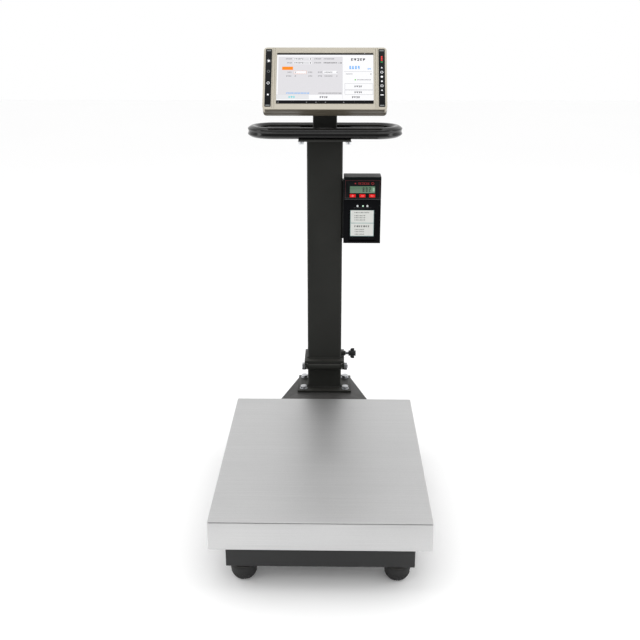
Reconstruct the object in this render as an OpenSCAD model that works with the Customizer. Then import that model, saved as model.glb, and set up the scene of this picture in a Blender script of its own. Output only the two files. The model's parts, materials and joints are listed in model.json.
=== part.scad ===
// Free-standing platform scale with a folding column, a touch display, a carrying ring and a label printer.
// Millimetres. X is across the platter, Y runs from the operator to the column, Z is up from the floor.

/* [Platter] */
// Width of the weighing platter
platter_w = 450; // [380:5:520]
// Depth of the weighing platter
platter_l = 600; // [500:5:720]
// Thickness of the platter's stainless sheet
platter_t = 2; // [1.2:0.2:3]
// Height of the folded skirt round the platter
platter_skirt = 63.5; // [50:0.5:70]

/* [Base frame] */
// Distance from the platter's edge in to the base frame's face
frame_inset = 31; // [24:1:45]
// Height of the folded base channel
beam_h = 60; // [50:1:70]
// Width of the base channel's flanges
beam_w = 40; // [34:1:50]
// Sheet thickness of the base channel
beam_t = 3; // [2:0.5:4]
// Width of the centre beam that carries the load cell
spine_w = 80; // [70:1:100]
// Height of the centre beam
spine_h = 20; // [16:1:26]
// Plate thickness of the centre beam and of the load frame's spine
spine_t = 4; // [3:0.5:6]

/* [Load cell and load frame] */
// Length of the single-point load cell
cell_l = 150; // [130:5:170]
// Width of the load cell
cell_w = 40; // [36:1:50]
// Height of the load cell
cell_h = 50; // [40:1:56]
// Thickness of the lower spacer plate
shim_low_t = 5; // [3:1:8]
// Thickness of the upper spacer plate
shim_top_t = 7; // [5:1:10]
// Height of the load frame's channels
load_h = 30; // [25:1:40]
// Sheet thickness of the load frame's arms
load_t = 3; // [2:0.5:4]
// Height of the rubber pads under the platter
pad_t = 8; // [5:1:12]

/* [Feet] */
// Height of the base frame's underside above the floor
foot_h = 43; // [38:1:56]
// Diameter of a foot at its widest
foot_d = 56; // [44:1:60]
// Height of the rubber foot
foot_pad_h = 36; // [28:1:36]
// Diameter of the levelling stud
stud_d = 12; // [8:1:14]
// Distance of a foot's axis in from the frame's side
foot_in_x = 34; // [30:1:44]
// Distance of a foot's axis in from the frame's end
foot_in_y = 31; // [30:1:44]

/* [Column bracket] */
// Distance from the platter's rear edge to the back of the bracket
shelf_reach = 212; // [200:2:260]
// Distance from the platter's top down to the bracket's top
shelf_drop = 20; // [12:1:30]
// Thickness of the bracket's plates
shelf_t = 6; // [4:0.5:10]
// Gap between the platter's skirt and the bracket's upright plate
shelf_gap = 12; // [8:1:20]
// Width of the shelf at its front edge
shelf_w = 246; // [220:2:280]
// Width of the shelf at its back edge, before the corners are rounded
shelf_back_w = 132; // [126:2:180]
// Radius of the shelf's back corners
shelf_r = 22; // [8:1:24]

/* [Column] */
// Width of the column tube
col_w = 90; // [74:1:100]
// Depth of the column tube
col_d = 60; // [50:1:70]
// Wall of the column tube
col_t = 3; // [2:0.5:4]
// Outer corner radius of the column tube
col_r = 5; // [3.5:0.5:8]
// Length of the folding column tube
col_h = 583; // [480:1:700]
// Distance from the platter's rear edge to the column's middle
col_gap = 138; // [120:1:150]
// Height of the fixed stub under the hinge, between its two plates
stub_h = 72; // [60:1:90]
// Thickness of the welded flange plates
flange_t = 6; // [4:0.5:8]
// Radius of the hinge knuckles
knuckle_r = 9; // [7.5:0.5:9.5]
// Diameter of the hinge bolt
hinge_d = 10; // [8:1:11]
// Distance from the column's front face to the hinge axis
hinge_out = 16; // [15:0.5:20]

/* [Handle ring] */
// Overall width of the carrying ring
ring_w = 388; // [340:2:440]
// Distance between the middles of the ring's front and rear bars
ring_d = 108; // [104:1:124]
// Width of the ring's section
ring_sw = 26; // [22:1:28]
// Height of the ring's section
ring_sh = 28; // [22:1:32]
// Depth of the finger groove round the ring's side
ring_groove = 1.8; // [1:0.1:3]

/* [Display] */
// Width of the display housing
disp_w = 302.6; // [290:0.2:330]
// Height of the display housing along its face
disp_h = 170.4; // [160:0.2:200]
// Thickness of the display housing
disp_t = 39; // [34:1:46]
// Lean of the display's face back from upright, in degrees
disp_lean = 35; // [20:1:45]
// Width of the screen opening
screen_w = 236.6; // [220:0.2:240]
// Height of the screen opening
screen_h = 139.2; // [120:0.2:145]
// Width of a key strip
keys_w = 15; // [10:0.5:16]

/* [Printer] */
// Width of the printer
prn_w = 94; // [88:1:110]
// Depth of the printer
prn_d = 55; // [50:1:64]
// Height of the printer
prn_h = 170; // [165:1:200]
// Height of the printer's underside above the column flange
prn_up = 323; // [250:1:380]
// Width of the label strip
paper_w = 60; // [50:1:62]
// Travel of the push buttons
key_travel = 0.8; // [0.5:0.1:1]

/* [Hidden] */
$fn = 48;

run = 0.06;                 // radial clearance of a shaft that turns in its hole
fit = 0.3;                  // clearance round a part that drops into a pocket
gap = 0.5;                  // clearance between parts that move past each other

// Places along Y: the overall depth is centred on the origin.
platter_y = -shelf_reach / 2;
platter_back = platter_y + platter_l / 2;
col_y = platter_back + col_gap;
col_front = col_y - col_d / 2;

// Heights, from the floor up through the weighing stack.
frame_z = foot_h;
frame_top = frame_z + beam_h;
shim_low_z = frame_z + spine_h;
cell_z = shim_low_z + shim_low_t;
shim_top_z = cell_z + cell_h;
load_z = shim_top_z + shim_top_t;
load_top = load_z + load_h;
tray_z = load_top + pad_t;
platter_top = tray_z + platter_t;
skirt_z = platter_top - platter_skirt;

// Base frame and feet.
frame_w = platter_w - 2 * frame_inset;
frame_l = platter_l - 2 * frame_inset;
frame_back = platter_y + frame_l / 2;
foot_x = frame_w / 2 - foot_in_x;
foot_y = frame_l / 2 - foot_in_y;
boss_r = stud_d / 2 + 6;
corner_plate = 64;
stud_r = stud_d / 2;
sole_r = 9;                                 // radius of the flat that stands on the floor
stud_z = 12;                                // underside of the stud inside the rubber foot
stud_top = frame_z + 40;
lock_nut_h = 6.5;
stop_r = 4;
stop_x = frame_w / 2 - 24;
arm_y = frame_l / 2 - 69;
stop_gap = 2.5;

// Load cell bolting: four bolts in each end.
cell_bolt_r = 4;
cell_bolt_x = 25;
cell_bolt_y = 19;
cell_end = cell_l / 2 - 17.5;
shim_l = 35;

// Load frame.
load_w = frame_w - 28;
load_l = frame_l - 98;
arm_w = 40;
pad_r = 15;

// Bracket behind the platter.
shelf_top = platter_top - shelf_drop;
upright_y = platter_back + shelf_gap;
shelf_back = platter_back + shelf_reach;
upright_w = shelf_w - 10;
stub_arm_x = 75;
stub_arm_w = 44;
stub_arm_h = skirt_z - frame_z - 8;
stub_end_t = 8;
m10 = 5;
m10_hole = 5.5;
bracket_bolt_z = [frame_z + 13, frame_z + 38];
flange_w = col_w + 54;
flange_d = col_d + 48;
flange_bolt_x = flange_w / 2 - 16;
flange_bolt_y = flange_d / 2 - 15.5;

// Hinge and column.
stub_z = shelf_top + flange_t;
hinge_plane = stub_z + stub_h + flange_t;     // where the stub's top plate meets the column's bottom plate
collar_w = col_w + 16;
collar_front = col_front - 20;
collar_back = col_y + col_d / 2 + 10;
hinge_y = col_front - hinge_out;
hinge_z = hinge_plane - 10;
knuckle_half = collar_w / 2;
knuckle_mid = knuckle_half - 6.5;
tube_z = hinge_plane + flange_t;
col_top = tube_z + col_h;
spigot_w = col_w - 2 * col_t - 12;
spigot_y0 = col_front + col_t + 3;
spigot_y1 = spigot_y0 + 34;
spigot_h = 33;
lock_r = 4;
lock_y = col_y - 8;
lock_z = tube_z + 7.2;
lock_boss = 12;
lock_tip = spigot_w / 2 + fit;
lock_end = col_w / 2 + lock_boss + 12;

// Handle ring on its plate.
plate_t = 5;
plate_w = col_w + 39;
plate_z = col_top;
ring_z = plate_z + plate_t;
ring_mid = ring_z + ring_sh / 2;
ring_end = ring_w / 2 - ring_sw / 2 - ring_d / 2;
ring_bolt_x = plate_w / 2 - 6.5;
m8 = 4;

// Neck, tilt pivot and display.
neck_w = 60;
neck_d = 40;
neck_t = 2.5;
neck_h = 53;
neck_base_t = 4;
neck_base_w = 84;
neck_base_d = 62;
pivot_y = col_y + 17;
neck_y = pivot_y - 10;
neck_z = ring_z + neck_base_t;
neck_top = neck_z + neck_h;
pivot_z = neck_top + 30;
pivot_r = 4;
ear_t = 5;
ear_x = 16;                                 // inner face of a neck ear
ear_r = 10;
lug_t = 4;
pivot_v = 60.2;                             // pivot's height along the display's face
pivot_w = disp_t + 22.6;                    // pivot's depth behind the display's face
bezel_t = 3;
bezel_d = 18;
inside_w = disp_w - 2 * bezel_t;
inside_h = disp_h - 2 * bezel_t;
step_d = disp_t - 7;                        // depth at which the cover steps in all round
cover_t = 2.5;
disp_r = 9;
screen_v = 15.9;
keys_h = 158.4;
keys_v = 7.2;
keys_x = disp_w / 2 - 5.1 - keys_w / 2;
bracket_w = 70;
bracket_h = 60;
bracket_t = 3;
board_w = 180;
board_h = 104;
board_d = disp_t - 16;
board_t = 1.6;
board_v = screen_v + 14;
rocker_x = 104;
rocker_v = 28;
rocker_w = 18;
rocker_pin_r = 1.2;
rocker_tilt = 9;
inlet_x = 74;
cover_screw_x = disp_w / 2 - 11;
cover_screw_v = 11;
cover_screw_r = 1.7;
cover_boss_r = 4.5;

// Printer on the column's right side.
mount_t = 3;
prn_x0 = col_w / 2 + mount_t;
prn_x = prn_x0 + prn_w / 2;
prn_front = col_front - 13;
prn_mid_y = prn_front + prn_d / 2;
prn_z = tube_z + prn_up;
prn_t = 2.5;
prn_face = 3;
prn_split = prn_z + 112.7;
prn_top = prn_z + prn_h;
window_w = 64;
window_h = 18;
window_z = prn_split + 25.3;
red_w = 15;
red_h = 8.2;
red_pitch = 24.5;
red_z = prn_split + 10;
white_r = 2.5;
white_z = prn_split - 16.2;
white_x = [-12, 13];
light_x = 2;
door_z0 = prn_z + 10;                       // axis of the paper door
door_bar_r = 3.3;
door_top = prn_z + 84.7;
sill_z = door_z0 - 5;
mouth_top = door_top + 2.3;
door_w = paper_w + 7.4;
door_y = prn_front + door_bar_r;
trunnion_r = 1.5;
roller_r = 5;
roller_y = prn_front + 9;
roller_z = door_top - 4.7;
roll_r = 19;
roll_core = 6;
hub_l = (prn_w - paper_w) / 2 + 6;          // hubs on the case's walls reach into the roll's core
roll_y = prn_front + 31;
roll_z = prn_z + 32;
strip_t = 0.3;
strip_drop = 67;

// ---- helpers ----

// A block centred in X and Y on a point, standing on that point's height.
module slab(size, at) translate([at.x, at.y, at.z + size.z / 2]) cube(size, center = true);

// A rectangle with round corners, from squares and circles.
module round_rect(w, d, r) {
    square([w - 2 * r, d], center = true);
    square([w, d - 2 * r], center = true);
    for (sx = [-1, 1], sy = [-1, 1])
        translate([sx * (w / 2 - r), sy * (d / 2 - r)]) circle(r);
}

// A cylinder along X whose middle is at the point.
module bar_x(r, len, at) translate(at) rotate([0, 90, 0]) cylinder(r = r, h = len, center = true);

// A cylinder along Y that starts at the point and runs towards the back.
module bar_y(r, len, at) translate(at) rotate([-90, 0, 0]) cylinder(r = r, h = len);

// A plate outlined in Y and Z, centred on x.
module plate_yz(points, t, x)
    translate([x - t / 2, 0, 0]) rotate([90, 0, 90]) linear_extrude(t) polygon(points);

// A hexagon bolt with a washer: head above the origin, shank below it.
module hex_bolt(r, len, washer_t = 2) {
    cylinder(r = r * 2, h = washer_t);
    translate([0, 0, washer_t]) cylinder(r = r * 1.85, h = r * 1.28, $fn = 6);
    translate([0, 0, -len]) cylinder(r = r, h = len + washer_t);
}

// A round pan-head screw: head above the origin, shank below it.
module pan_screw(r, len) {
    cylinder(r = r * 1.9, h = r * 1.1);
    translate([0, 0, -len]) cylinder(r = r, h = len + 0.1);
}

// Copies at the four corners of a rectangle.
module corners(x, y, z, at_y = 0)
    for (sx = [-1, 1], sy = [-1, 1]) translate([sx * x, at_y + sy * y, z]) children();

// The display's own frame: X across, Y into the housing from its face, Z up along the face.
module at_display()
    translate([0, pivot_y, pivot_z]) rotate([-disp_lean, 0, 0]) translate([0, -pivot_w, -pivot_v]) children();

// A rounded panel in the display's frame, from depth d0 to depth d1.
module panel(w, h, r, d0, d1, v0, x = 0)
    translate([x, d1, v0 + h / 2]) rotate([90, 0, 0]) linear_extrude(d1 - d0) round_rect(w, h, r);

// ---- weighing platform ----

module platter() color("#c9cacb") difference() {
    slab([platter_w, platter_l, platter_skirt], [0, platter_y, skirt_z]);
    slab([platter_w - 2 * platter_t, platter_l - 2 * platter_t, platter_skirt],
         [0, platter_y, skirt_z - platter_t]);
}

module platter_pads() color("#1c1c1c")
    corners(load_w / 2 - 20, arm_y, load_top, platter_y) cylinder(r = pad_r, h = pad_t);

// A spine that opens upwards, and two arms that open downwards, with stop plates at the arms' ends.
module load_frame() color("#3a3a3a") difference() {
    union() {
        difference() {
            slab([spine_w, load_l, load_h], [0, platter_y, load_z]);
            slab([spine_w - 2 * spine_t, load_l + 2, load_h], [0, platter_y, load_z + spine_t]);
        }
        for (sy = [-1, 1]) {
            difference() {
                slab([load_w, arm_w, load_h], [0, platter_y + sy * arm_y, load_z]);
                slab([load_w + 2, arm_w - 2 * load_t, load_h], [0, platter_y + sy * arm_y, load_z - load_t]);
            }
            for (sx = [-1, 1])
                slab([34, arm_w, load_t], [sx * (load_w / 2 - 17), platter_y + sy * arm_y, load_z]);
        }
    }
    corners(cell_bolt_x / 2, cell_bolt_y / 2, load_z - 1, platter_y - cell_end)
        cylinder(r = cell_bolt_r + fit, h = spine_t + 2);
}

// A binocular cell: two bores joined by a slot, and tapped holes in each end.
module load_cell() color("#b9bcc0") difference() {
    slab([cell_w, cell_l, cell_h], [0, platter_y, cell_z]);
    for (sy = [-1, 1]) bar_x(13, cell_w + 2, [0, platter_y + sy * 19, cell_z + cell_h / 2]);
    slab([cell_w + 2, 38, 9], [0, platter_y, cell_z + cell_h / 2 - 4.5]);
    corners(cell_bolt_x / 2, cell_bolt_y / 2, cell_z - 1, platter_y + cell_end)
        cylinder(r = cell_bolt_r, h = 17);
    corners(cell_bolt_x / 2, cell_bolt_y / 2, cell_z + cell_h - 16, platter_y - cell_end)
        cylinder(r = cell_bolt_r, h = 17);
}

module load_cell_shims() color("#8d9094") {
    difference() {
        slab([cell_w, shim_l, shim_low_t], [0, platter_y + cell_end, shim_low_z]);
        corners(cell_bolt_x / 2, cell_bolt_y / 2, shim_low_z - 1, platter_y + cell_end)
            cylinder(r = cell_bolt_r + fit, h = shim_low_t + 2);
    }
    difference() {
        slab([cell_w, shim_l, shim_top_t], [0, platter_y - cell_end, shim_top_z]);
        corners(cell_bolt_x / 2, cell_bolt_y / 2, shim_top_z - 1, platter_y - cell_end)
            cylinder(r = cell_bolt_r + fit, h = shim_top_t + 2);
    }
}

module load_cell_bolts() color("#6f7174") {
    corners(cell_bolt_x / 2, cell_bolt_y / 2, frame_z + spine_h - spine_t, platter_y + cell_end)
        mirror([0, 0, 1]) pan_screw(cell_bolt_r, spine_t + shim_low_t + 14);
    corners(cell_bolt_x / 2, cell_bolt_y / 2, load_z + spine_t, platter_y - cell_end)
        pan_screw(cell_bolt_r, spine_t + shim_top_t + 14);
}

// ---- base frame and feet ----

// A channel ring that opens inwards, with foot bosses, the cell beam and two rear arms for the bracket.
module base_frame() color("#373737") difference() {
    union() {
        difference() {
            slab([frame_w, frame_l, beam_h], [0, platter_y, frame_z]);
            slab([frame_w - 2 * beam_t, frame_l - 2 * beam_t, beam_h - 2 * beam_t],
                 [0, platter_y, frame_z + beam_t]);
            slab([frame_w - 2 * beam_w, frame_l - 2 * beam_w, beam_h + 2], [0, platter_y, frame_z - 1]);
        }
        for (sx = [-1, 1], sy = [-1, 1]) {
            slab([corner_plate, corner_plate, beam_t],
                 [sx * (frame_w - corner_plate) / 2, platter_y + sy * (frame_l - corner_plate) / 2, frame_z]);
            translate([sx * foot_x, platter_y + sy * foot_y, frame_z]) cylinder(r = boss_r, h = beam_h);
        }
        difference() {
            slab([spine_w, frame_l - beam_t, spine_h], [0, platter_y, frame_z]);
            slab([spine_w - 2 * spine_t, frame_l - 2 * beam_t, spine_h], [0, platter_y, frame_z - spine_t]);
        }
        for (sx = [-1, 1]) rear_arm(sx * stub_arm_x);
    }
    corners(foot_x, foot_y, frame_z - 1, platter_y) cylinder(r = stud_r + run, h = beam_h + 2);
    corners(stop_x, arm_y, frame_top - beam_t - 1, platter_y) cylinder(r = stop_r, h = beam_t + 2);
    corners(cell_bolt_x / 2, cell_bolt_y / 2, frame_z, platter_y + cell_end)
        cylinder(r = cell_bolt_r + fit, h = spine_h + 1);
    for (sx = [-1, 1], z = bracket_bolt_z)
        bar_y(m10, stub_end_t + 2, [sx * stub_arm_x, upright_y - stub_end_t - 1, z]);
}

// A short arm from the rear channel out under the platter's skirt, open underneath, with a thick end plate.
module rear_arm(x) difference() {
    translate([x - stub_arm_w / 2, frame_back - beam_t, frame_z])
        cube([stub_arm_w, upright_y - frame_back + beam_t, stub_arm_h]);
    translate([x - stub_arm_w / 2 + spine_t, frame_back, frame_z - 1])
        cube([stub_arm_w - 2 * spine_t, upright_y - frame_back - stub_end_t, stub_arm_h - spine_t + 1]);
}

module overload_stops() color("#8d9094") corners(stop_x, arm_y, frame_top, platter_y) {
    translate([0, 0, -beam_t - 6]) cylinder(r = stop_r, h = load_z - stop_gap - frame_top + beam_t + 6);
    cylinder(r = 7.5, h = 6.5, $fn = 6);
}

module foot_lock_nuts() color("#9a9c9e")
    corners(foot_x, foot_y, frame_z - lock_nut_h, platter_y) difference() {
        cylinder(r = stud_d * 0.9, h = lock_nut_h, $fn = 6);
        translate([0, 0, -1]) cylinder(r = stud_r + run, h = lock_nut_h + 2);
    }

// A turned rubber bowl: its side is a quarter ellipse down to a small sole, with an open socket for the stud.
module foot_pad(sx, sy) color("#1d1d1d")
    translate([sx * foot_x, platter_y + sy * foot_y, 0]) rotate_extrude() polygon(concat(
        [[0, 0]],
        [for (a = [0:15:90]) [sole_r + (foot_d / 2 - sole_r) * sin(a), (foot_pad_h - 5) * (1 - cos(a))]],
        [[foot_d / 2, foot_pad_h - 2], [foot_d / 2 - 2, foot_pad_h],
         [stud_r, foot_pad_h], [stud_r, stud_z], [0, stud_z]]));

module foot_stud(sx, sy) color("#a6a8aa")
    translate([sx * foot_x, platter_y + sy * foot_y, stud_z]) cylinder(r = stud_r, h = stud_top - stud_z);

// ---- column bracket ----

// The outline of the shelf: straight front edge, sides that draw in, and rounded back corners.
module shelf_outline() {
    run_in = atan2((shelf_w - shelf_back_w) / 2, shelf_back - upright_y);
    centre = [shelf_back_w / 2 + shelf_r * (tan(run_in) - 1 / cos(run_in)), shelf_back - shelf_r];
    arc = [for (i = [0:8]) let (a = run_in + (90 - run_in) * i / 8) centre + shelf_r * [cos(a), sin(a)]];
    polygon(concat([[-shelf_w / 2, upright_y], [shelf_w / 2, upright_y]], arc,
                   [for (i = [8:-1:0]) [-arc[i].x, arc[i].y]]));
}

module column_bracket() color("#333534") difference() {
    union() {
        translate([0, 0, shelf_top - shelf_t]) linear_extrude(shelf_t) shelf_outline();
        slab([upright_w, shelf_t, shelf_top - 1 - frame_z], [0, upright_y + shelf_t / 2, frame_z]);
        for (sx = [-1, 1])
            plate_yz([[upright_y, frame_z + 4], [upright_y + shelf_t + 4, frame_z + 4],
                      [shelf_back - 30, shelf_top - 20], [shelf_back - 30, shelf_top - 1],
                      [upright_y, shelf_top - 1]], shelf_t - 1, sx * (col_w / 2 - 6));
    }
    corners(flange_bolt_x, flange_bolt_y, shelf_top - shelf_t - 1, col_y)
        cylinder(r = m10_hole, h = shelf_t + 2);
    translate([0, col_y, shelf_top - shelf_t - 1]) cylinder(r = 12, h = shelf_t + 2);
    for (sx = [-1, 1], z = bracket_bolt_z) bar_y(m10_hole, shelf_t + 2, [sx * stub_arm_x, upright_y - 1, z]);
}

module bracket_bolts() color("#8d9094") for (sx = [-1, 1], z = bracket_bolt_z)
    translate([sx * stub_arm_x, upright_y + shelf_t, z]) rotate([-90, 0, 0])
        hex_bolt(m10, shelf_t + stub_end_t + 6);

// ---- fixed foot of the column, with the hinge's middle knuckle and the locking spigot ----

module column_foot() color("#232525") difference() {
    union() {
        slab([flange_w, flange_d, flange_t], [0, col_y, shelf_top]);
        translate([0, col_y, stub_z]) linear_extrude(stub_h) difference() {
            round_rect(col_w, col_d, col_r);
            round_rect(col_w - 2 * col_t, col_d - 2 * col_t, col_r - col_t);
        }
        slab([collar_w, collar_back - hinge_y - 10, flange_t],
             [0, (collar_back + hinge_y + 10) / 2, hinge_plane - flange_t]);
        for (sx = [-1, 1])
            translate([sx * (spigot_w / 2 - 1.5) - 1.5, spigot_y0, hinge_plane - 1])
                cube([3, spigot_y1 - spigot_y0, spigot_h + 1]);
        bar_x(knuckle_r, 2 * knuckle_mid, [0, hinge_y, hinge_z]);
        translate([-knuckle_mid, hinge_y, hinge_z - knuckle_r])
            cube([2 * knuckle_mid, hinge_out + 1, hinge_plane - hinge_z + knuckle_r]);
    }
    bar_x(hinge_d / 2 + run, 2 * knuckle_mid + 2, [0, hinge_y, hinge_z]);
    corners(flange_bolt_x, flange_bolt_y, shelf_top - 1, col_y) cylinder(r = m10_hole, h = flange_t + 2);
    translate([0, col_y, shelf_top - 1]) cylinder(r = 12, h = flange_t + 2);
    translate([0, col_y, hinge_plane - flange_t - 1]) cylinder(r = 12, h = flange_t + 2);
}

module flange_bolts() color("#a6a8aa") corners(flange_bolt_x, flange_bolt_y, shelf_top + flange_t, col_y) {
    hex_bolt(m10, flange_t + shelf_t + 12);
    translate([0, 0, -flange_t - shelf_t - 8]) cylinder(r = m10 * 1.85, h = 8, $fn = 6);
}

// ---- folding column ----

module column() color("#232525") difference() {
    union() {
        translate([0, col_y, tube_z]) linear_extrude(col_h) round_rect(col_w, col_d, col_r);
        slab([collar_w, collar_back - collar_front, flange_t],
             [0, (collar_back + collar_front) / 2, hinge_plane]);
        for (sx = [-1, 1]) {
            len = knuckle_half - knuckle_mid - gap;
            mid = sx * (knuckle_half + knuckle_mid + gap) / 2;
            bar_x(knuckle_r, len, [mid, hinge_y, hinge_z]);
            slab([len, 2 * knuckle_r, hinge_plane - hinge_z + 1], [mid, hinge_y, hinge_z]);
        }
        bar_x(6.5, lock_boss + 1, [(col_w + lock_boss - 1) / 2, lock_y, lock_z]);
    }
    translate([0, col_y, hinge_plane - 1]) linear_extrude(col_h + flange_t + 2)
        round_rect(col_w - 2 * col_t, col_d - 2 * col_t, col_r - col_t);
    bar_x(hinge_d / 2 + run / 2, 2 * knuckle_half + 2, [0, hinge_y, hinge_z]);
    bar_x(lock_r + run, lock_boss + col_t + 4, [(col_w + lock_boss - col_t) / 2, lock_y, lock_z]);
    for (p = mount_screw_points()) bar_x(2, 8, [col_w / 2, p.x, p.y]);
}

module hinge_bolt() color("#8d9094") {
    bar_x(hinge_d / 2, 2 * knuckle_half + 10, [5, hinge_y, hinge_z]);
    translate([-knuckle_half - hinge_d * 0.64, hinge_y, hinge_z]) rotate([0, 90, 0])
        cylinder(r = hinge_d * 0.9, h = hinge_d * 0.64, $fn = 6);
}

module hinge_nut() color("#8d9094")
    translate([knuckle_half, hinge_y, hinge_z]) rotate([0, 90, 0]) difference() {
        cylinder(r = hinge_d * 0.9, h = 8, $fn = 6);
        translate([0, 0, -1]) cylinder(r = hinge_d / 2, h = 10);
    }

module lock_screw() color("#8d9094")
    bar_x(lock_r, lock_end - lock_tip, [(lock_end + lock_tip) / 2, lock_y, lock_z]);

// A moulded wing knob: a hub and two flat lobes.
module lock_wing() color("#161616") translate([lock_end - 4, lock_y, lock_z]) difference() {
    union() {
        rotate([0, 90, 0]) cylinder(r = 6, h = 12);
        for (s = [-1, 1]) {
            translate([10, -2.5, s * 5 - 5]) cube([8, 5, 10]);
            translate([14, -2.5, s * 9]) rotate([-90, 0, 0]) cylinder(r = 5.5, h = 5);
        }
    }
    translate([-1, 0, 0]) rotate([0, 90, 0]) cylinder(r = lock_r, h = 5);
}

// ---- plate, carrying ring ----

module handle_plate() color("#232525") difference() {
    slab([plate_w, ring_d + 24, plate_t], [0, col_y, plate_z]);
    corners(ring_bolt_x, ring_d / 2, plate_z - 1, col_y) cylinder(r = m8 + fit, h = plate_t + 2);
    neck_screw_points(plate_z - 1) cylinder(r = 2.5, h = plate_t + 2);
    translate([0, col_y, plate_z - 1]) cylinder(r = 12, h = plate_t + 2);
}

module ring_section() difference() {
    round_rect(ring_sw, ring_sh, 9);
    for (s = [-1, 1]) translate([s * (ring_sw / 2 + 9 - ring_groove), 0]) circle(9);
}

module handle_ring() color("#121212") difference() {
    translate([0, col_y, ring_mid]) {
        for (sx = [-1, 1]) translate([sx * ring_end, 0, 0]) intersection() {
            rotate_extrude() translate([ring_d / 2, 0]) ring_section();
            translate([sx * ring_d, 0, 0]) cube([2 * ring_d, 2 * ring_d, 2 * ring_sh], center = true);
        }
        for (sy = [-1, 1]) translate([-ring_end, sy * ring_d / 2, 0])
            rotate([90, 0, 90]) linear_extrude(2 * ring_end) ring_section();
    }
    corners(ring_bolt_x, ring_d / 2, ring_z - 1, col_y) cylinder(r = m8, h = 17);
}

module handle_bolts() color("#8d9094") corners(ring_bolt_x, ring_d / 2, plate_z, col_y)
    mirror([0, 0, 1]) hex_bolt(m8, plate_t + 14);

// ---- neck and tilt pivot ----

module neck_screw_points(z) corners(neck_base_w / 2 - 7, neck_base_d / 2 - 7, z, neck_y) children();

module display_neck() color("#232525") difference() {
    union() {
        slab([neck_base_w, neck_base_d, neck_base_t], [0, neck_y, ring_z]);
        translate([0, neck_y, ring_z]) linear_extrude(neck_h + neck_base_t) round_rect(neck_w, neck_d, 4);
        for (sx = [-1, 1]) {
            slab([ear_t, 2 * ear_r, pivot_z - neck_top + 3],
                 [sx * (ear_x + ear_t / 2), pivot_y, neck_top - 3]);
            bar_x(ear_r, ear_t, [sx * (ear_x + ear_t / 2), pivot_y, pivot_z]);
        }
    }
    translate([0, neck_y, ring_z - 1]) linear_extrude(neck_h + neck_base_t + 1 - neck_t)
        round_rect(neck_w - 2 * neck_t, neck_d - 2 * neck_t, 4 - neck_t);
    bar_x(pivot_r, 2 * (ear_x + ear_t) + 2, [0, pivot_y, pivot_z]);
    neck_screw_points(ring_z - 1) cylinder(r = 2.8, h = neck_base_t + 2);
    translate([0, neck_y - 8, neck_top - neck_t - 1]) cylinder(r = 6, h = neck_t + 2);
}

module neck_screws() color("#8d9094")
    neck_screw_points(ring_z + neck_base_t) pan_screw(2.5, neck_base_t + plate_t - 0.5);

module tilt_pin() color("#8d9094") {
    reach = ear_x + ear_t + gap + lug_t + gap / 2;
    bar_x(pivot_r, 2 * reach + 2, [0, pivot_y, pivot_z]);
    for (x = [-reach - 4.5, reach]) translate([x, pivot_y, pivot_z]) rotate([0, 90, 0])
        cylinder(r = 7, h = 4.5, $fn = 6);
}

// A U bracket screwed to the back of the display; its ears turn on the pin outside the neck's ears.
module tilt_bracket() color("#232525") at_display() difference() {
    union() {
        panel(bracket_w, bracket_h, 5, disp_t, disp_t + bracket_t, pivot_v - bracket_h / 2);
        for (sx = [-1, 1]) {
            x = sx * (ear_x + ear_t + gap + lug_t / 2);
            translate([x - lug_t / 2, disp_t + bracket_t - 1, pivot_v - 14])
                cube([lug_t, pivot_w - disp_t - bracket_t + 1, 24]);
            bar_x(ear_r, lug_t, [x, pivot_w, pivot_v]);
        }
    }
    bar_x(pivot_r + run, 2 * (ear_x + ear_t + gap + lug_t) + 2, [0, pivot_w, pivot_v]);
    bracket_screw_points(disp_t + bracket_t + 1) cylinder(r = 2.4, h = bracket_t + 2);
}

module bracket_screw_points(depth) for (sx = [-1, 1], sv = [-1, 1])
    translate([sx * (bracket_w / 2 - 5.5), depth, pivot_v + sv * (bracket_h / 2 - 8)])
        rotate([90, 0, 0]) children();

module tilt_screws() color("#8d9094") at_display()
    bracket_screw_points(disp_t + bracket_t) mirror([0, 0, 1]) pan_screw(2, bracket_t + 6);

// ---- display ----

module display_bezel() color("#c8bba6") at_display() difference() {
    union() {
        difference() {
            panel(disp_w, disp_h, disp_r, 0, bezel_d, 0);
            panel(inside_w, inside_h, disp_r - bezel_t, bezel_t, bezel_d + 1, bezel_t);
        }
        cover_screw_points(bezel_d) cylinder(r = cover_boss_r, h = bezel_d - bezel_t + 1);
    }
    cover_screw_points(bezel_d + 1) cylinder(r = cover_screw_r, h = bezel_d - bezel_t - 1);
    panel(screen_w, screen_h, 1, -1, bezel_t + 1, screen_v);
    for (sx = [-1, 1]) panel(keys_w + fit, keys_h + fit, 2, -1, 0.8, keys_v - fit / 2, sx * keys_x);
}

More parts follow.
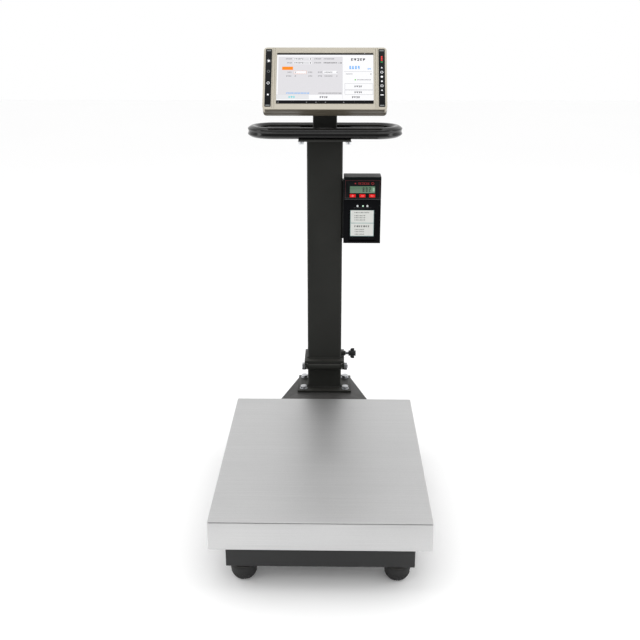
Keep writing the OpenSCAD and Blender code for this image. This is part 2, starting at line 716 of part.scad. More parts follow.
module display_cover() color("#9c917d") at_display() difference() {
    union() {
        difference() {
            union() {
                panel(disp_w, disp_h, disp_r, bezel_d, step_d, 0);
                panel(disp_w - 12, disp_h - 12, disp_r - 3, step_d, disp_t, 6);
            }
            panel(inside_w, inside_h, disp_r - bezel_t, bezel_d - 1, step_d - cover_t, bezel_t);
            panel(disp_w - 20, disp_h - 20, disp_r - 6, bezel_d - 1, disp_t - cover_t, 10);
        }
        bracket_screw_points(disp_t - 1) cylinder(r = 4.5, h = 9);
        cover_screw_points(disp_t - 1) cylinder(r = cover_boss_r, h = disp_t - 1 - bezel_d);
        translate([rocker_x - rocker_w / 2 - 3.5, disp_t - 11, rocker_v - 9]) cube([rocker_w + 7, 10, 18]);
        for (sx = [-1, 1], sv = [-1, 1])
            translate([sx * (board_w / 2 - 8), disp_t - 1, board_v + board_h / 2 + sv * (board_h / 2 - 8)])
                rotate([90, 0, 0]) cylinder(r = 3.5, h = disp_t - 1 - board_d - board_t);
    }
    bracket_screw_points(disp_t + 1) cylinder(r = 2, h = 8);
    for (sx = [-1, 1], i = [0:6]) panel(4, 40, 1.9, disp_t - 4, disp_t + 1, 118, sx * (40 + 11 * i));
    translate([rocker_x - rocker_w / 2 - 1.5, disp_t - 9, rocker_v - 7]) cube([rocker_w + 3, 10, 14]);
    bar_x(rocker_pin_r + run, rocker_w + 6.4, [rocker_x, disp_t - 2.5, rocker_v]);
    translate([inlet_x - 7, disp_t - 8, rocker_v - 7]) cube([14, 9, 14]);
    cover_screw_points(disp_t + 1) cylinder(r = cover_screw_r + fit, h = disp_t);
}

module cover_screw_points(depth) for (sx = [-1, 1], v = [cover_screw_v, disp_h - cover_screw_v])
    translate([sx * cover_screw_x, depth, v]) rotate([90, 0, 0]) children();

module display_screws() color("#6f7174") at_display()
    cover_screw_points(disp_t) mirror([0, 0, 1]) pan_screw(cover_screw_r, disp_t - bezel_t - 6);

module screen_glass() color("#20262a") at_display()
    panel(screen_w - fit, screen_h - fit, 1, 1, bezel_t, screen_v + fit / 2);

module lcd_panel() color("#9fa4a8") at_display()
    panel(screen_w + 6, screen_h + 6, 2, bezel_t, bezel_t + 6, screen_v - 3);

module key_strips() color("#0d0d0d") at_display()
    for (sx = [-1, 1]) panel(keys_w, keys_h, 2, -0.3, 0.8, keys_v, sx * keys_x);

module main_board() color("#1d5a34") at_display() {
    panel(board_w, board_h, 1, board_d, board_d + board_t, board_v);
    for (x = [-60, -20, 20, 58]) translate([x - 9, board_d - 5, screen_v + 50]) cube([18, 5.2, 22]);
}

// A rocker that tips about X in its seat; it rests with its upper end pressed in.
module power_rocker() color("#101010") at_display() translate([rocker_x, disp_t - 2.5, rocker_v])
    rotate([-rocker_tilt, 0, 0]) {
        intersection() {
            bar_x(7.2, rocker_w, [0, 0, 0]);
            translate([-rocker_w / 2, -3.6, -6]) cube([rocker_w, 7.2, 12]);
        }
        bar_x(rocker_pin_r, rocker_w + 6, [0, 0, 0]);
    }

module dc_inlet() color("#101010") at_display() difference() {
    translate([inlet_x - 7, disp_t - 8, rocker_v - 7]) cube([14, 8.5, 14]);
    translate([inlet_x, disp_t + 1, rocker_v]) rotate([90, 0, 0]) cylinder(r = 2.8, h = 8);
}

// ---- printer ----

function mount_screw_points() = [for (dy = [-11, 11], dz = [20, 140]) [col_y + dy - 8, prn_z + dz]];

module printer_mount() color("#1a1a1a") difference() {
    translate([col_w / 2, col_y - 24, prn_z + 8]) cube([mount_t, 40, prn_h - 22]);
    for (p = mount_screw_points()) bar_x(2.3, 2 * mount_t + 4, [col_w / 2, p.x, p.y]);
}

module printer_screws() color("#8d9094") for (p = mount_screw_points())
    translate([prn_x0 + prn_t, p.x, p.y]) rotate([0, 90, 0]) pan_screw(2, prn_t + mount_t + 6);

// A deep moulded box, open at the front, with round upright edges.
module printer_case() color("#101013") difference() {
    union() {
        difference() {
            translate([prn_x, prn_mid_y, prn_z]) linear_extrude(prn_h) round_rect(prn_w, prn_d, 3);
            slab([prn_w - 2 * prn_t, prn_d, prn_h - 2 * prn_t], [prn_x, prn_mid_y - prn_t, prn_z + prn_t]);
        }
        for (sx = [-1, 1])
            bar_x(roll_core - gap, hub_l, [prn_x + sx * (prn_w - prn_t - hub_l) / 2, roll_y, roll_z]);
    }
    translate([prn_x0 - 1, prn_front - 1, prn_z - 1]) cube([prn_w + 2, prn_face + 1, prn_h + 2]);
    for (p = mount_screw_points()) bar_x(2.3, 2 * prn_t + 2, [prn_x0, p.x, p.y]);
}

// A flat face plate that closes part of the printer's front.
module face_plate(z0, z1) translate([prn_x0, prn_front, z0]) cube([prn_w, prn_face, z1 - z0]);

module printer_panel() color("#0c0c10") difference() {
    face_plate(prn_split, prn_top);
    slab([window_w, 2 * prn_face + 2, window_h], [prn_x, prn_front, window_z - window_h / 2]);
    for (i = [-1:1]) slab([red_w + 2 * fit, 2 * prn_face + 2, red_h + 2 * fit],
                          [prn_x + i * red_pitch, prn_front, red_z - red_h / 2 - fit]);
}

module printer_front() color("#0c0c10") difference() {
    union() {
        face_plate(prn_z, prn_split - 0.4);
        for (sx = [-1, 1])
            translate([prn_x + sx * (door_w / 2 + gap + 2) - 2, prn_front, door_z0 - 4]) cube([4, 8, 8]);
    }
    slab([door_w + 2 * gap, 24, mouth_top - sill_z], [prn_x, prn_front, sill_z]);
    bar_x(trunnion_r + run, door_w + 2 * gap + 10, [prn_x, door_y, door_z0]);
    for (x = white_x) bar_y(white_r + fit, prn_face + 2, [prn_x + x, prn_front - 1, white_z]);
    bar_y(2, prn_face + 2, [prn_x + light_x, prn_front - 1, white_z]);
}

module printer_window() color("#7fae90")
    slab([window_w - fit, 6, window_h - fit], [prn_x, prn_front + 4, window_z - window_h / 2 + fit / 2]);

// A push button: cap through the face plate, and a wider base behind it.
module red_button(i) color("#e01f14") {
    slab([red_w, prn_face + 2, red_h],
         [prn_x + i * red_pitch, prn_front + prn_face / 2 - 0.6, red_z - red_h / 2]);
    slab([red_w + 2.4, 1, red_h + 2.4],
         [prn_x + i * red_pitch, prn_front + prn_face + 0.9, red_z - red_h / 2 - 1.2]);
}

module white_button(i) color("#e9e9e6") {
    bar_y(white_r, prn_face + 1.5, [prn_x + white_x[i], prn_front - 1, white_z]);
    bar_y(white_r + 1.2, 1, [prn_x + white_x[i], prn_front + prn_face + 0.4, white_z]);
}

module status_light() color("#35c24a") bar_y(2, prn_face + 2, [prn_x + light_x, prn_front - 0.6, white_z]);

// The door turns forwards on two moulded trunnions and carries the roller between two cheeks.
module paper_door() color("#101013") difference() {
    union() {
        translate([prn_x - door_w / 2, prn_front, door_z0]) cube([door_w, prn_face, door_top - door_z0]);
        bar_x(door_bar_r, door_w, [prn_x, door_y, door_z0]);
        bar_x(trunnion_r, door_w + 2 * gap + 6, [prn_x, door_y, door_z0]);
        for (sx = [-1, 1]) translate([prn_x + sx * (door_w / 2 - 1.2) - 1.2, prn_front, roller_z - 7])
            cube([2.4, roller_y - prn_front + 3, 11]);
    }
    bar_x(trunnion_r + run, door_w + 2, [prn_x, roller_y, roller_z]);
}

module platen_roller() color("#2a2a2a") {
    bar_x(roller_r, paper_w, [prn_x, roller_y, roller_z]);
    bar_x(trunnion_r, door_w - 0.4, [prn_x, roller_y, roller_z]);
}

// The head stands behind the roller on a bridge between the case's walls.
module print_head() color("#8d9094") {
    translate([prn_x0 + prn_t, roller_y + roller_r + fit + 3, roller_z - 8]) cube([prn_w - 2 * prn_t, 3, 16]);
    translate([prn_x - paper_w / 2, roller_y + roller_r + fit, roller_z - 6]) cube([paper_w, 3.1, 12]);
}

module paper_roll() color("#eeeeea") difference() {
    bar_x(roll_r, paper_w - 2, [prn_x, roll_y, roll_z]);
    bar_x(roll_core, paper_w, [prn_x, roll_y, roll_z]);
}

// The printed strip: out over the door's top edge, then down in front of it.
module paper_strip() color("#e6e8e4") {
    translate([prn_x - paper_w / 2, prn_front - 2 * strip_t, door_top + 0.8 - strip_drop])
        cube([paper_w, strip_t, strip_drop]);
    translate([prn_x - paper_w / 2, prn_front - 2 * strip_t, door_top + 0.5])
        cube([paper_w, roller_y - prn_front - 2, strip_t]);
}

platter();
platter_pads();
load_frame();
load_cell();
load_cell_shims();
load_cell_bolts();
base_frame();
overload_stops();
foot_lock_nuts();
foot_pad(-1, -1);  // foot_pad_fl
foot_pad(1, -1);  // foot_pad_fr
foot_pad(-1, 1);  // foot_pad_rl
foot_pad(1, 1);  // foot_pad_rr
foot_stud(-1, -1);  // foot_stud_fl
foot_stud(1, -1);  // foot_stud_fr
foot_stud(-1, 1);  // foot_stud_rl
foot_stud(1, 1);  // foot_stud_rr
column_bracket();
bracket_bolts();
column_foot();
flange_bolts();
column();
hinge_bolt();
hinge_nut();
lock_screw();
lock_wing();
handle_plate();
handle_ring();
handle_bolts();
display_neck();
neck_screws();
tilt_pin();
tilt_bracket();
tilt_screws();
display_bezel();
display_cover();
display_screws();
screen_glass();
lcd_panel();
key_strips();
main_board();
power_rocker();
dc_inlet();
printer_mount();
printer_screws();
printer_case();
printer_panel();
printer_front();
printer_window();
red_button(-1);  // red_button_left
red_button(0);  // red_button_mid
red_button(1);  // red_button_right
white_button(0);  // white_button_left
white_button(1);  // white_button_right
status_light();
paper_door();
platen_roller();
print_head();
paper_roll();
paper_strip();
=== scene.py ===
import json
import math
import bmesh
import bpy
from mathutils import Matrix, Vector


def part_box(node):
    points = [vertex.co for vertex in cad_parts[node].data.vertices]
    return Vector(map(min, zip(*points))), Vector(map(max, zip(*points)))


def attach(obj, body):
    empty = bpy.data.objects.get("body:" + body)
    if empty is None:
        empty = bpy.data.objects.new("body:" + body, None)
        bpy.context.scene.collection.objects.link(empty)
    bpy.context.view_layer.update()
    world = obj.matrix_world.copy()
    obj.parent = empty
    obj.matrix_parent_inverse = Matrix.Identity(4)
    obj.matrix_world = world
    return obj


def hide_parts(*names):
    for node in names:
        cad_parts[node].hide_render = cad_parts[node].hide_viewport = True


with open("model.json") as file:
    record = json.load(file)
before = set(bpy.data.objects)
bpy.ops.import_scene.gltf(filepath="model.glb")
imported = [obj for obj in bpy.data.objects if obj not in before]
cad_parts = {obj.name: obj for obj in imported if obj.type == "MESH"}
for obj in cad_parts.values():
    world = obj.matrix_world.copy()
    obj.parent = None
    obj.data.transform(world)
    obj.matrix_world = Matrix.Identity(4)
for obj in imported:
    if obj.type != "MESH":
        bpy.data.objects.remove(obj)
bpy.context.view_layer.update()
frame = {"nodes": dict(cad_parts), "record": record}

# ---- studio ----
# A pale seamless floor in a white room, with one wide soft light overhead and a tall one at each side.
# The camera stands in front of the platter, a little higher than the display, and looks down at the scale.
MM = 0.001
scene = bpy.context.scene
scene.view_settings.view_transform = "Standard"


def put(tree, kind, sockets=None, **settings):
    """Adds a shader node. Each socket named here is set to a value or joined to another node's output."""
    item = tree.nodes.new("ShaderNode" + kind)
    for name, value in settings.items():
        setattr(item, name, value)
    for key, value in (sockets or {}).items():
        if isinstance(value, bpy.types.NodeSocket):
            tree.links.new(value, item.inputs[key])
        else:
            item.inputs[key].default_value = value
    return item


def fit(tree, value, start, end):
    """Maps a value from one range to another, and stops at the second range's ends."""
    return put(tree, "MapRange", {"Value": value, "From Min": start[0], "From Max": start[1],
                                  "To Min": end[0], "To Max": end[1]}).outputs[0]


def white_room():
    """Lights matt surfaces evenly and glossy ones from behind the scale, and looks white itself."""
    room = bpy.data.worlds.new("white_room")
    room.use_nodes = True
    tree = room.node_tree
    way = put(tree, "SeparateXYZ", {0: put(tree, "TexCoord").outputs["Generated"]})
    glow = fit(tree, way.outputs["Y"], (-0.7, 0.7), (0.10, 0.92))
    ray = put(tree, "LightPath").outputs["Is Glossy Ray"]
    shade = put(tree, "MixRGB", {"Fac": ray, "Color1": (1, 1, 1, 1), "Color2": glow})
    tree.links.new(shade.outputs[0], tree.nodes["Background"].inputs["Color"])
    return room


def soft_light(name, size, at, power):
    """A rectangular soft box, turned towards the middle of the scale."""
    bpy.ops.object.light_add(type="AREA", location=at)
    lamp = bpy.context.active_object
    lamp.name = name
    lamp.data.shape = "RECTANGLE"
    lamp.data.size, lamp.data.size_y = size
    lamp.data.energy = power
    lamp.rotation_euler = (Vector((0, 0, 0.4)) - Vector(at)).to_track_quat("-Z", "Y").to_euler()
    return lamp


scene.world = white_room()
soft_light("overhead_light", (2.6, 2.2), (0, -0.2, 3.0), 16)
soft_light("left_light", (0.7, 2.2), (-2.3, -0.5, 1.2), 9)
soft_light("right_light", (0.7, 2.2), (2.3, -0.5, 1.2), 9)

bpy.ops.mesh.primitive_plane_add(size=14, location=(0, 3, 0))
floor = bpy.context.active_object
floor.name = "studio_floor"
pale = bpy.data.materials.new("pale_floor")
pale.use_nodes = True
tree = pale.node_tree
where = put(tree, "TexCoord").outputs["Object"]
cloud = put(tree, "TexNoise", {"Vector": where, "Scale": 0.6}).outputs["Fac"]
tint = put(tree, "MixRGB", {"Fac": cloud, "Color1": (0.95, 0.95, 0.95, 1), "Color2": (0.98, 0.98, 0.98, 1)})
shader = tree.nodes["Principled BSDF"]
tree.links.new(tint.outputs[0], shader.inputs["Base Color"])
shader.inputs["Roughness"].default_value = 0.8
shader.inputs["Emission Color"].default_value = (1, 1, 1, 1)
shader.inputs["Emission Strength"].default_value = 0.04
floor.data.materials.append(pale)

look_down, look_left = math.radians(19.16), math.radians(0.97)
bpy.ops.object.camera_add(location=(0.026, -1.946, 1.1256), rotation=(math.pi / 2 - look_down, 0, look_left))
camera = bpy.context.active_object
camera.name = "front_camera"
camera.data.sensor_width = 36
camera.data.lens = 50.38
scene.camera = camera

# ---- base frame ----
# The base is a ring of folded 3 mm channel with a centre beam and two short arms at the back, all welded.
# It is powder coated dark grey, so its edges are softly rounded by the coat.


def new_group(name, inputs, outputs):
    """Starts a shader node group. Inputs give each socket's kind and first value, outputs just the kind."""
    group = bpy.data.node_groups.new(name, "ShaderNodeTree")
    for label, (kind, value) in inputs.items():
        socket = group.interface.new_socket(label, in_out="INPUT", socket_type="NodeSocket" + kind)
        socket.default_value = value
    for label, kind in outputs.items():
        group.interface.new_socket(label, in_out="OUTPUT", socket_type="NodeSocket" + kind)
    return group, group.nodes.new("NodeGroupInput"), group.nodes.new("NodeGroupOutput")


def skin_group():
    """The skin of a coat or a moulding: a fine grain, with slow changes of shade and gloss under it."""
    group, given, out = new_group("grained_skin", {
        "Colour": ("Color", (0.5, 0.5, 0.5, 1)), "Grain": ("Float", 0.001), "Spread": ("Float", 0.1),
        "Smoothest": ("Float", 0.4), "Roughest": ("Float", 0.6),
    }, {"Colour": "Color", "Roughness": "Float", "Height": "Float"})
    where = put(group, "TexCoord").outputs["Object"]
    scale = put(group, "Math", {0: 1.0, 1: given.outputs["Grain"]}, operation="DIVIDE").outputs[0]
    fine = put(group, "TexNoise", {"Vector": where, "Scale": scale, "Detail": 2.0}).outputs["Fac"]
    slow = put(group, "TexNoise", {"Vector": where, "Scale": 9.0, "Detail": 5.0}).outputs["Fac"]
    both = put(group, "MixRGB", {"Fac": 0.5, "Color1": fine, "Color2": slow}).outputs[0]
    swing = fit(group, both, (0.3, 0.7), (-1.0, 1.0))
    bright = put(group, "Math", {0: swing, 1: given.outputs["Spread"], 2: 1.0}, operation="MULTIPLY_ADD")
    tinted = put(group, "HueSaturation", {"Value": bright.outputs[0],
                                          "Color": given.outputs["Colour"]}).outputs[0]
    rough = fit(group, slow, (0.35, 0.65), (given.outputs["Smoothest"], given.outputs["Roughest"]))
    for label, socket in (("Colour", tinted), ("Roughness", rough), ("Height", fine)):
        group.links.new(socket, out.inputs[label])
    return group


def product(tree, first, second):
    """The product of two values."""
    return put(tree, "Math", {0: first, 1: second}, operation="MULTIPLY").outputs[0]


def cover(group, given, out, mask, colour):
    """Ends a group: lays a colour over the given one where the mask says, and puts out both."""
    laid_over = put(group, "MixRGB", {"Fac": mask, "Color1": given.outputs["Colour"], "Color2": colour})
    group.links.new(laid_over.outputs[0], out.inputs["Colour"])
    group.links.new(mask, out.inputs["Mask"])
    return group


def edges_group():
    """Edges rubbed by handling: where the surface turns within the reach, broken up by a patchy noise."""
    group, given, out = new_group("rubbed_edges", {
        "Colour": ("Color", (0.5, 0.5, 0.5, 1)), "Bare": ("Color", (0.6, 0.6, 0.6, 1)),
        "Reach": ("Float", 0.001), "Amount": ("Float", 0.5),
    }, {"Colour": "Color", "Mask": "Float"})
    rounded = put(group, "Bevel", {"Radius": given.outputs["Reach"]}, samples=4).outputs[0]
    flat = put(group, "NewGeometry").outputs["Normal"]
    agree = put(group, "VectorMath", {0: rounded, 1: flat}, operation="DOT_PRODUCT").outputs["Value"]
    edge = fit(group, agree, (0.97, 0.78), (0.0, 1.0))
    where = put(group, "TexCoord").outputs["Object"]
    patch = put(group, "TexNoise", {"Vector": where, "Scale": 70.0, "Detail": 4.0}).outputs["Fac"]
    rubbed = fit(group, patch, (0.48, 0.68), (0.0, 1.0))
    mask = product(group, product(group, edge, rubbed), given.outputs["Amount"])
    return cover(group, given, out, mask, given.outputs["Bare"])


def dust_group():
    """Dust that has settled on what faces up, thin and uneven."""
    group, given, out = new_group("settled_dust", {
        "Colour": ("Color", (0.5, 0.5, 0.5, 1)), "Amount": ("Float", 0.1),
    }, {"Colour": "Color", "Mask": "Float"})
    place = put(group, "TexCoord")
    up = put(group, "SeparateXYZ", {0: place.outputs["Normal"]}).outputs["Z"]
    level = fit(group, up, (0.5, 0.95), (0.0, 1.0))
    drift = put(group, "TexNoise", {"Vector": place.outputs["Object"], "Scale": 26.0, "Detail": 7.0})
    mask = product(group, product(group, level, drift.outputs["Fac"]), given.outputs["Amount"])
    return cover(group, given, out, mask, (0.52, 0.50, 0.47, 1))


skin, rubbed_edges, settled_dust = skin_group(), edges_group(), dust_group()


def set_sockets(shader, **values):
    """Sets constants on a shader's own sockets; an underscore in a name stands for a space."""
    for name, value in values.items():
        shader.inputs[name.replace("_", " ")].default_value = value


def blank(name):
    """A new material, with its node tree and its shader."""
    mat = bpy.data.materials.new(name)
    mat.use_nodes = True
    return mat, mat.node_tree, mat.node_tree.nodes["Principled BSDF"]


def coated(name, colour, grain=1 * MM, spread=0.12, gloss=(0.45, 0.6), bump=0.3, bare=None, worn=0.6,
           dust=0.0, **sockets):
    """A coat of paint or a moulded skin, with rubbed edges where bare is given and dust where wanted."""
    mat, tree, shader = blank(name)
    surface = put(tree, "Group", {"Colour": (*colour, 1), "Grain": grain, "Spread": spread,
                                  "Smoothest": gloss[0], "Roughest": gloss[1]}, node_tree=skin)
    tone = surface.outputs["Colour"]
    if bare:
        tone = put(tree, "Group", {"Colour": tone, "Bare": (*bare, 1), "Reach": 1.2 * MM, "Amount": worn},
                   node_tree=rubbed_edges).outputs["Colour"]
    if dust:
        tone = put(tree, "Group", {"Colour": tone, "Amount": dust}, node_tree=settled_dust).outputs["Colour"]
    height = put(tree, "Bump", {"Height": surface.outputs["Height"], "Strength": bump,
                                "Distance": grain * 0.12})
    tree.links.new(tone, shader.inputs["Base Color"])
    tree.links.new(surface.outputs["Roughness"], shader.inputs["Roughness"])
    tree.links.new(height.outputs[0], shader.inputs["Normal"])
    set_sockets(shader, **sockets)
    return mat


record = frame["record"]
body_of = {node: body for body, members in record["behaviour"]["bodies"].items() for node in members}


def only(piece):
    """Leaves that piece alone selected, in object mode."""
    if bpy.context.mode != "OBJECT":
        bpy.ops.object.mode_set(mode="OBJECT")
    bpy.ops.object.select_all(action="DESELECT")
    piece.select_set(True)
    bpy.context.view_layer.objects.active = piece
    return piece


def pick(piece, kind, test=lambda spot, part: True):
    """Opens the piece in edit mode with just those vertices, edges or faces selected whose middle passes."""
    only(piece)
    bpy.ops.object.mode_set(mode="EDIT")
    bpy.ops.mesh.select_mode(type=kind)
    bpy.ops.mesh.select_all(action="DESELECT")
    mesh = bmesh.from_edit_mesh(piece.data)
    for part in {"VERT": mesh.verts, "EDGE": mesh.edges, "FACE": mesh.faces}[kind]:
        corners = [part] if kind == "VERT" else part.verts
        if test(sum((v.co for v in corners), Vector()) / len(corners), part):
            part.select_set(True)
    if kind == "VERT":
        mesh.select_flush(True)
    bmesh.update_edit_mesh(piece.data)


def apply(piece, kind, **settings):
    """Adds one modifier with these settings and applies it."""
    only(piece)
    step = piece.modifiers.new("step", kind)
    for name, value in settings.items():
        setattr(step, name, value)
    bpy.ops.object.modifier_apply(modifier="step")
    return piece


def ease(piece, width, segments=2, angle=30):
    """Rounds the piece's edges over by a small width and shades what is smooth as smooth."""
    apply(piece, "BEVEL", width=width, segments=segments, limit_method="ANGLE",
          angle_limit=math.radians(angle), use_clamp_overlap=False)
    bpy.ops.object.shade_smooth_by_angle(angle=math.radians(angle + 5))
    return piece


def stand_for(piece, material, *names):
    """The finished piece takes its material and stands in for these CAD nodes."""
    if material:
        piece.data.materials.clear()
        piece.data.materials.append(material)
    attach(piece, body_of[names[0]])
    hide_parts(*names)
    return piece


def soften(name, width, material, segments=2):
    """A copy of a CAD node, merged, with its edges rounded over, which then stands for that node."""
    piece = bpy.data.objects.new(name + "_finished", frame["nodes"][name].data.copy())
    scene.collection.objects.link(piece)
    pick(piece, "VERT")
    bpy.ops.mesh.remove_doubles(threshold=0.001 * MM)
    bpy.ops.mesh.select_all(action="SELECT")
    bpy.ops.mesh.dissolve_limited(angle_limit=math.radians(0.5))
    only(piece)
    ease(piece, width, segments)
    return stand_for(piece, material, name)


base_coat = coated("base_powder_coat", (0.0175, 0.0178, 0.018), grain=0.9 * MM, spread=0.16,
                   gloss=(0.42, 0.52), bare=(0.16, 0.16, 0.16), worn=0.5, dust=0.12, Specular_IOR_Level=0.4)
soften("base_frame", 1.2 * MM, base_coat, 3)

# ---- feet ----
# Four moulded rubber bowls with a ribbed skirt, each turned on a zinc-plated stud that a lock nut holds
# against the base. One bowl, one stud and one nut are modelled and then copied to the four corners.


def primitive(kind, name, **settings):
    """Adds a primitive with nothing else selected, and puts its place and size into its mesh."""
    if bpy.context.mode != "OBJECT":
        bpy.ops.object.mode_set(mode="OBJECT")
    bpy.ops.object.select_all(action="DESELECT")
    getattr(bpy.ops.mesh, f"primitive_{kind}_add")(**settings)
    piece = bpy.context.active_object
    piece.name = piece.data.name = name
    bpy.ops.object.transform_apply(location=True, rotation=True, scale=True)
    return piece


def grow(way, ratio=1.0, about=(0, 0, 0), flat=(1, 1, 0)):
    """Extrudes what is selected along a way and scales the new end, in the plane that flat gives."""
    bpy.ops.mesh.extrude_region_move(TRANSFORM_OT_translate={"value": way})
    if ratio != 1.0:
        size = [1 + (ratio - 1) * f for f in flat]
        bpy.ops.transform.resize(value=size, center_override=about)


def copy_to(piece, name, place):
    """A copy with a mesh of its own, moved to a point or by a whole matrix, with its place in its mesh."""
    twin = bpy.data.objects.new(name, piece.data.copy())
    scene.collection.objects.link(twin)
    twin.data.transform(place if isinstance(place, Matrix) else Matrix.Translation(place))
    return twin


def join(pieces, name):
    """Joins pieces into one, under that name."""
    only(pieces[0])
    for piece in pieces[1:]:
        piece.select_set(True)
    if len(pieces) > 1:
        bpy.ops.object.join()
    pieces[0].name = pieces[0].data.name = name
    return pieces[0]


def outward(piece):
    """Merges doubles and turns every face of a closed piece outwards."""
    pick(piece, "VERT")
    bpy.ops.mesh.remove_doubles(threshold=0.001 * MM)
    bpy.ops.mesh.select_all(action="SELECT")
    bpy.ops.mesh.normals_make_consistent(inside=False)
    return only(piece)


def ribbed_rod(name, radius, length, pitch, depth, sides=20):
    """A round bar standing on the origin, with the shallow ridges of a screw thread or a weld bead."""
    rod = primitive("circle", name, vertices=sides, radius=radius - depth, fill_type="NGON")
    pick(rod, "FACE")
    turns = max(1, round(length / pitch))
    for i in range(turns):
        for ratio in (radius / (radius - depth), (radius - depth) / radius):
            grow((0, 0, length / turns / 2), ratio)
    outward(rod)
    bpy.ops.object.shade_smooth_by_angle(angle=math.radians(50))
    return rod


def hexagon(name, flats, height, hole=0.0):
    """A hexagon head or nut standing on the origin, its corners turned down to a chamfer at the top."""
    middle, top_r, slope = (0, 0, height / 2), 0.48 * flats, 1.73
    piece = primitive("cylinder", name, vertices=6, radius=flats / math.sqrt(3), depth=height,
                      location=middle)
    cone = primitive("cone", "chamfer_cone", vertices=48, radius1=top_r + slope * height, radius2=top_r,
                     depth=height, location=middle)
    apply(piece, "BOOLEAN", operation="INTERSECT", object=cone, solver="EXACT")
    if hole:
        bore = primitive("cylinder", "bore", vertices=32, radius=hole, depth=3 * height)
        apply(piece, "BOOLEAN", operation="DIFFERENCE", object=bore, solver="EXACT")
        bpy.data.objects.remove(bore)
    bpy.data.objects.remove(cone)
    return ease(piece, 0.02 * flats, 2)


def foot_bowl(wide, tall):
    """The rubber bowl: a sole, a ribbed quarter round up to the widest part and a soft top edge."""
    ribs, sole = 26, 9 * MM
    steps = [math.radians(a) for a in (18, 33, 48, 63, 77, 90)]
    bowl = primitive("circle", "foot_bowl", vertices=4 * ribs, radius=sole, fill_type="NGON")
    pick(bowl, "FACE")
    last, low = sole, 0.0
    for a in steps:
        r = sole + (wide / 2 - sole) * math.sin(a)
        z = (tall - 5 * MM) * (1 - math.cos(a))
        grow((0, 0, z - low), r / last)
        last, low = r, z
    grow((0, 0, 3 * MM))
    grow((0, 0, 1.4 * MM), 0.985)
    grow((0, 0, 0.6 * MM), 0.94)
    grow((0, 0, 0), 0.62)
    grow((0, 0, -2 * MM), 0.95)
    outward(bowl)

    def on_rib(spot, face):
        turn = math.atan2(spot.y, spot.x) / (2 * math.pi) * ribs
        return 1 * MM < spot.z < 0.52 * tall and spot.xy.length > sole and (turn % 1) < 0.5

    pick(bowl, "FACE", on_rib)
    bpy.ops.mesh.extrude_region_shrink_fatten(TRANSFORM_OT_shrink_fatten={"value": 1.1 * MM})
    only(bowl)
    return ease(bowl, 0.35 * MM, 2, 40)


def zinc_plate(name, colour=(0.60, 0.61, 0.63), rough=0.26):
    """Bright zinc plate: metal with a faint cloudy bloom and tiny pits."""
    mat = coated(name, colour, grain=0.5 * MM, spread=0.18, gloss=(rough, rough + 0.16), bump=0.15)
    set_sockets(mat.node_tree.nodes["Principled BSDF"], Metallic=1.0)
    return mat


foot_rubber = coated("foot_rubber", (0.020, 0.020, 0.020), grain=1.4 * MM, spread=0.25, gloss=(0.55, 0.75),
                     bump=0.5, dust=0.35, Specular_IOR_Level=0.35)
zinc = zinc_plate("zinc_plate")
low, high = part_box("foot_pad_fl")
bowl = foot_bowl(high.x - low.x, high.z)
stud_low, stud_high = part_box("foot_stud_fl")
stud = ribbed_rod("stud", (stud_high.x - stud_low.x) / 2, stud_high.z - stud_low.z, 1.75 * MM, 0.8 * MM)
corners = ("fl", "fr", "rl", "rr")
for corner in corners:
    low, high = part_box("foot_pad_" + corner)
    spot = (low + high) / 2
    place, raised = (spot.x, spot.y, 0), (spot.x, spot.y, stud_low.z)
    stand_for(copy_to(bowl, "foot_bowl_" + corner, place), foot_rubber, "foot_pad_" + corner)
    stand_for(copy_to(stud, "levelling_stud_" + corner, raised), zinc, "foot_stud_" + corner)
low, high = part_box("foot_lock_nuts")
nut = hexagon("nut", 19 * MM, high.z - low.z, hole=6.1 * MM)
spots = [sum(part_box("foot_stud_" + corner), Vector((0, 0, 0))) / 2 for corner in corners]
nuts = [copy_to(nut, "nut_copy", (spot.x, spot.y, low.z)) for spot in spots]
stand_for(join(nuts, "lock_nuts"), zinc, "foot_lock_nuts")
for spare in (bowl, stud, nut):
    bpy.data.objects.remove(spare)

# ---- load cell and load frame ----
# An aluminium single-point cell is bolted between the base's centre beam and a primed steel load frame, with
# a ground spacer at each end. Four rubber pads carry the platter and four stop bolts limit the cell's bend.
primer = coated("load_frame_primer", (0.085, 0.085, 0.083), grain=1.2 * MM, spread=0.2, gloss=(0.6, 0.75),
                bump=0.35, bare=(0.30, 0.29, 0.28), worn=0.7)
milled = coated("milled_alloy", (0.62, 0.63, 0.65), grain=0.7 * MM, spread=0.14, gloss=(0.28, 0.40),
                bump=0.25, Metallic=1.0)
ground = coated("ground_steel", (0.46, 0.46, 0.47), grain=0.4 * MM, spread=0.2, gloss=(0.30, 0.44),
                bump=0.25, Metallic=1.0)
soften("load_frame", 0.8 * MM, primer)
soften("load_cell", 0.5 * MM, milled)
soften("load_cell_shims", 0.4 * MM, ground)
soften("overload_stops", 0.4 * MM, zinc)
soften("load_cell_bolts", 0.3 * MM, zinc)
soften("platter_pads", 1.0 * MM, foot_rubber, 3)

# ---- platter ----
# A loose tray of 2 mm stainless sheet with a satin grain. Its four sides are folded down into a skirt, the
# corners are welded and dressed, and the skirt's lower edge turns in so that nobody touches a raw edge.


def lines_group():
    """A directional grain: fine streaks drawn along one way, given by how tightly each axis is stretched."""
    group, given, out = new_group("drawn_grain", {"Fineness": ("Vector", (3, 900, 900))}, {"Value": "Float"})
    where = put(group, "TexCoord").outputs["Object"]
    drawn = put(group, "VectorMath", {0: where, 1: given.outputs["Fineness"]}, operation="MULTIPLY")
    streaks = put(group, "TexNoise", {"Vector": drawn.outputs[0], "Scale": 1.0, "Detail": 3.0}).outputs["Fac"]
    group.links.new(streaks, out.inputs["Value"])
    return group


drawn_grain = lines_group()


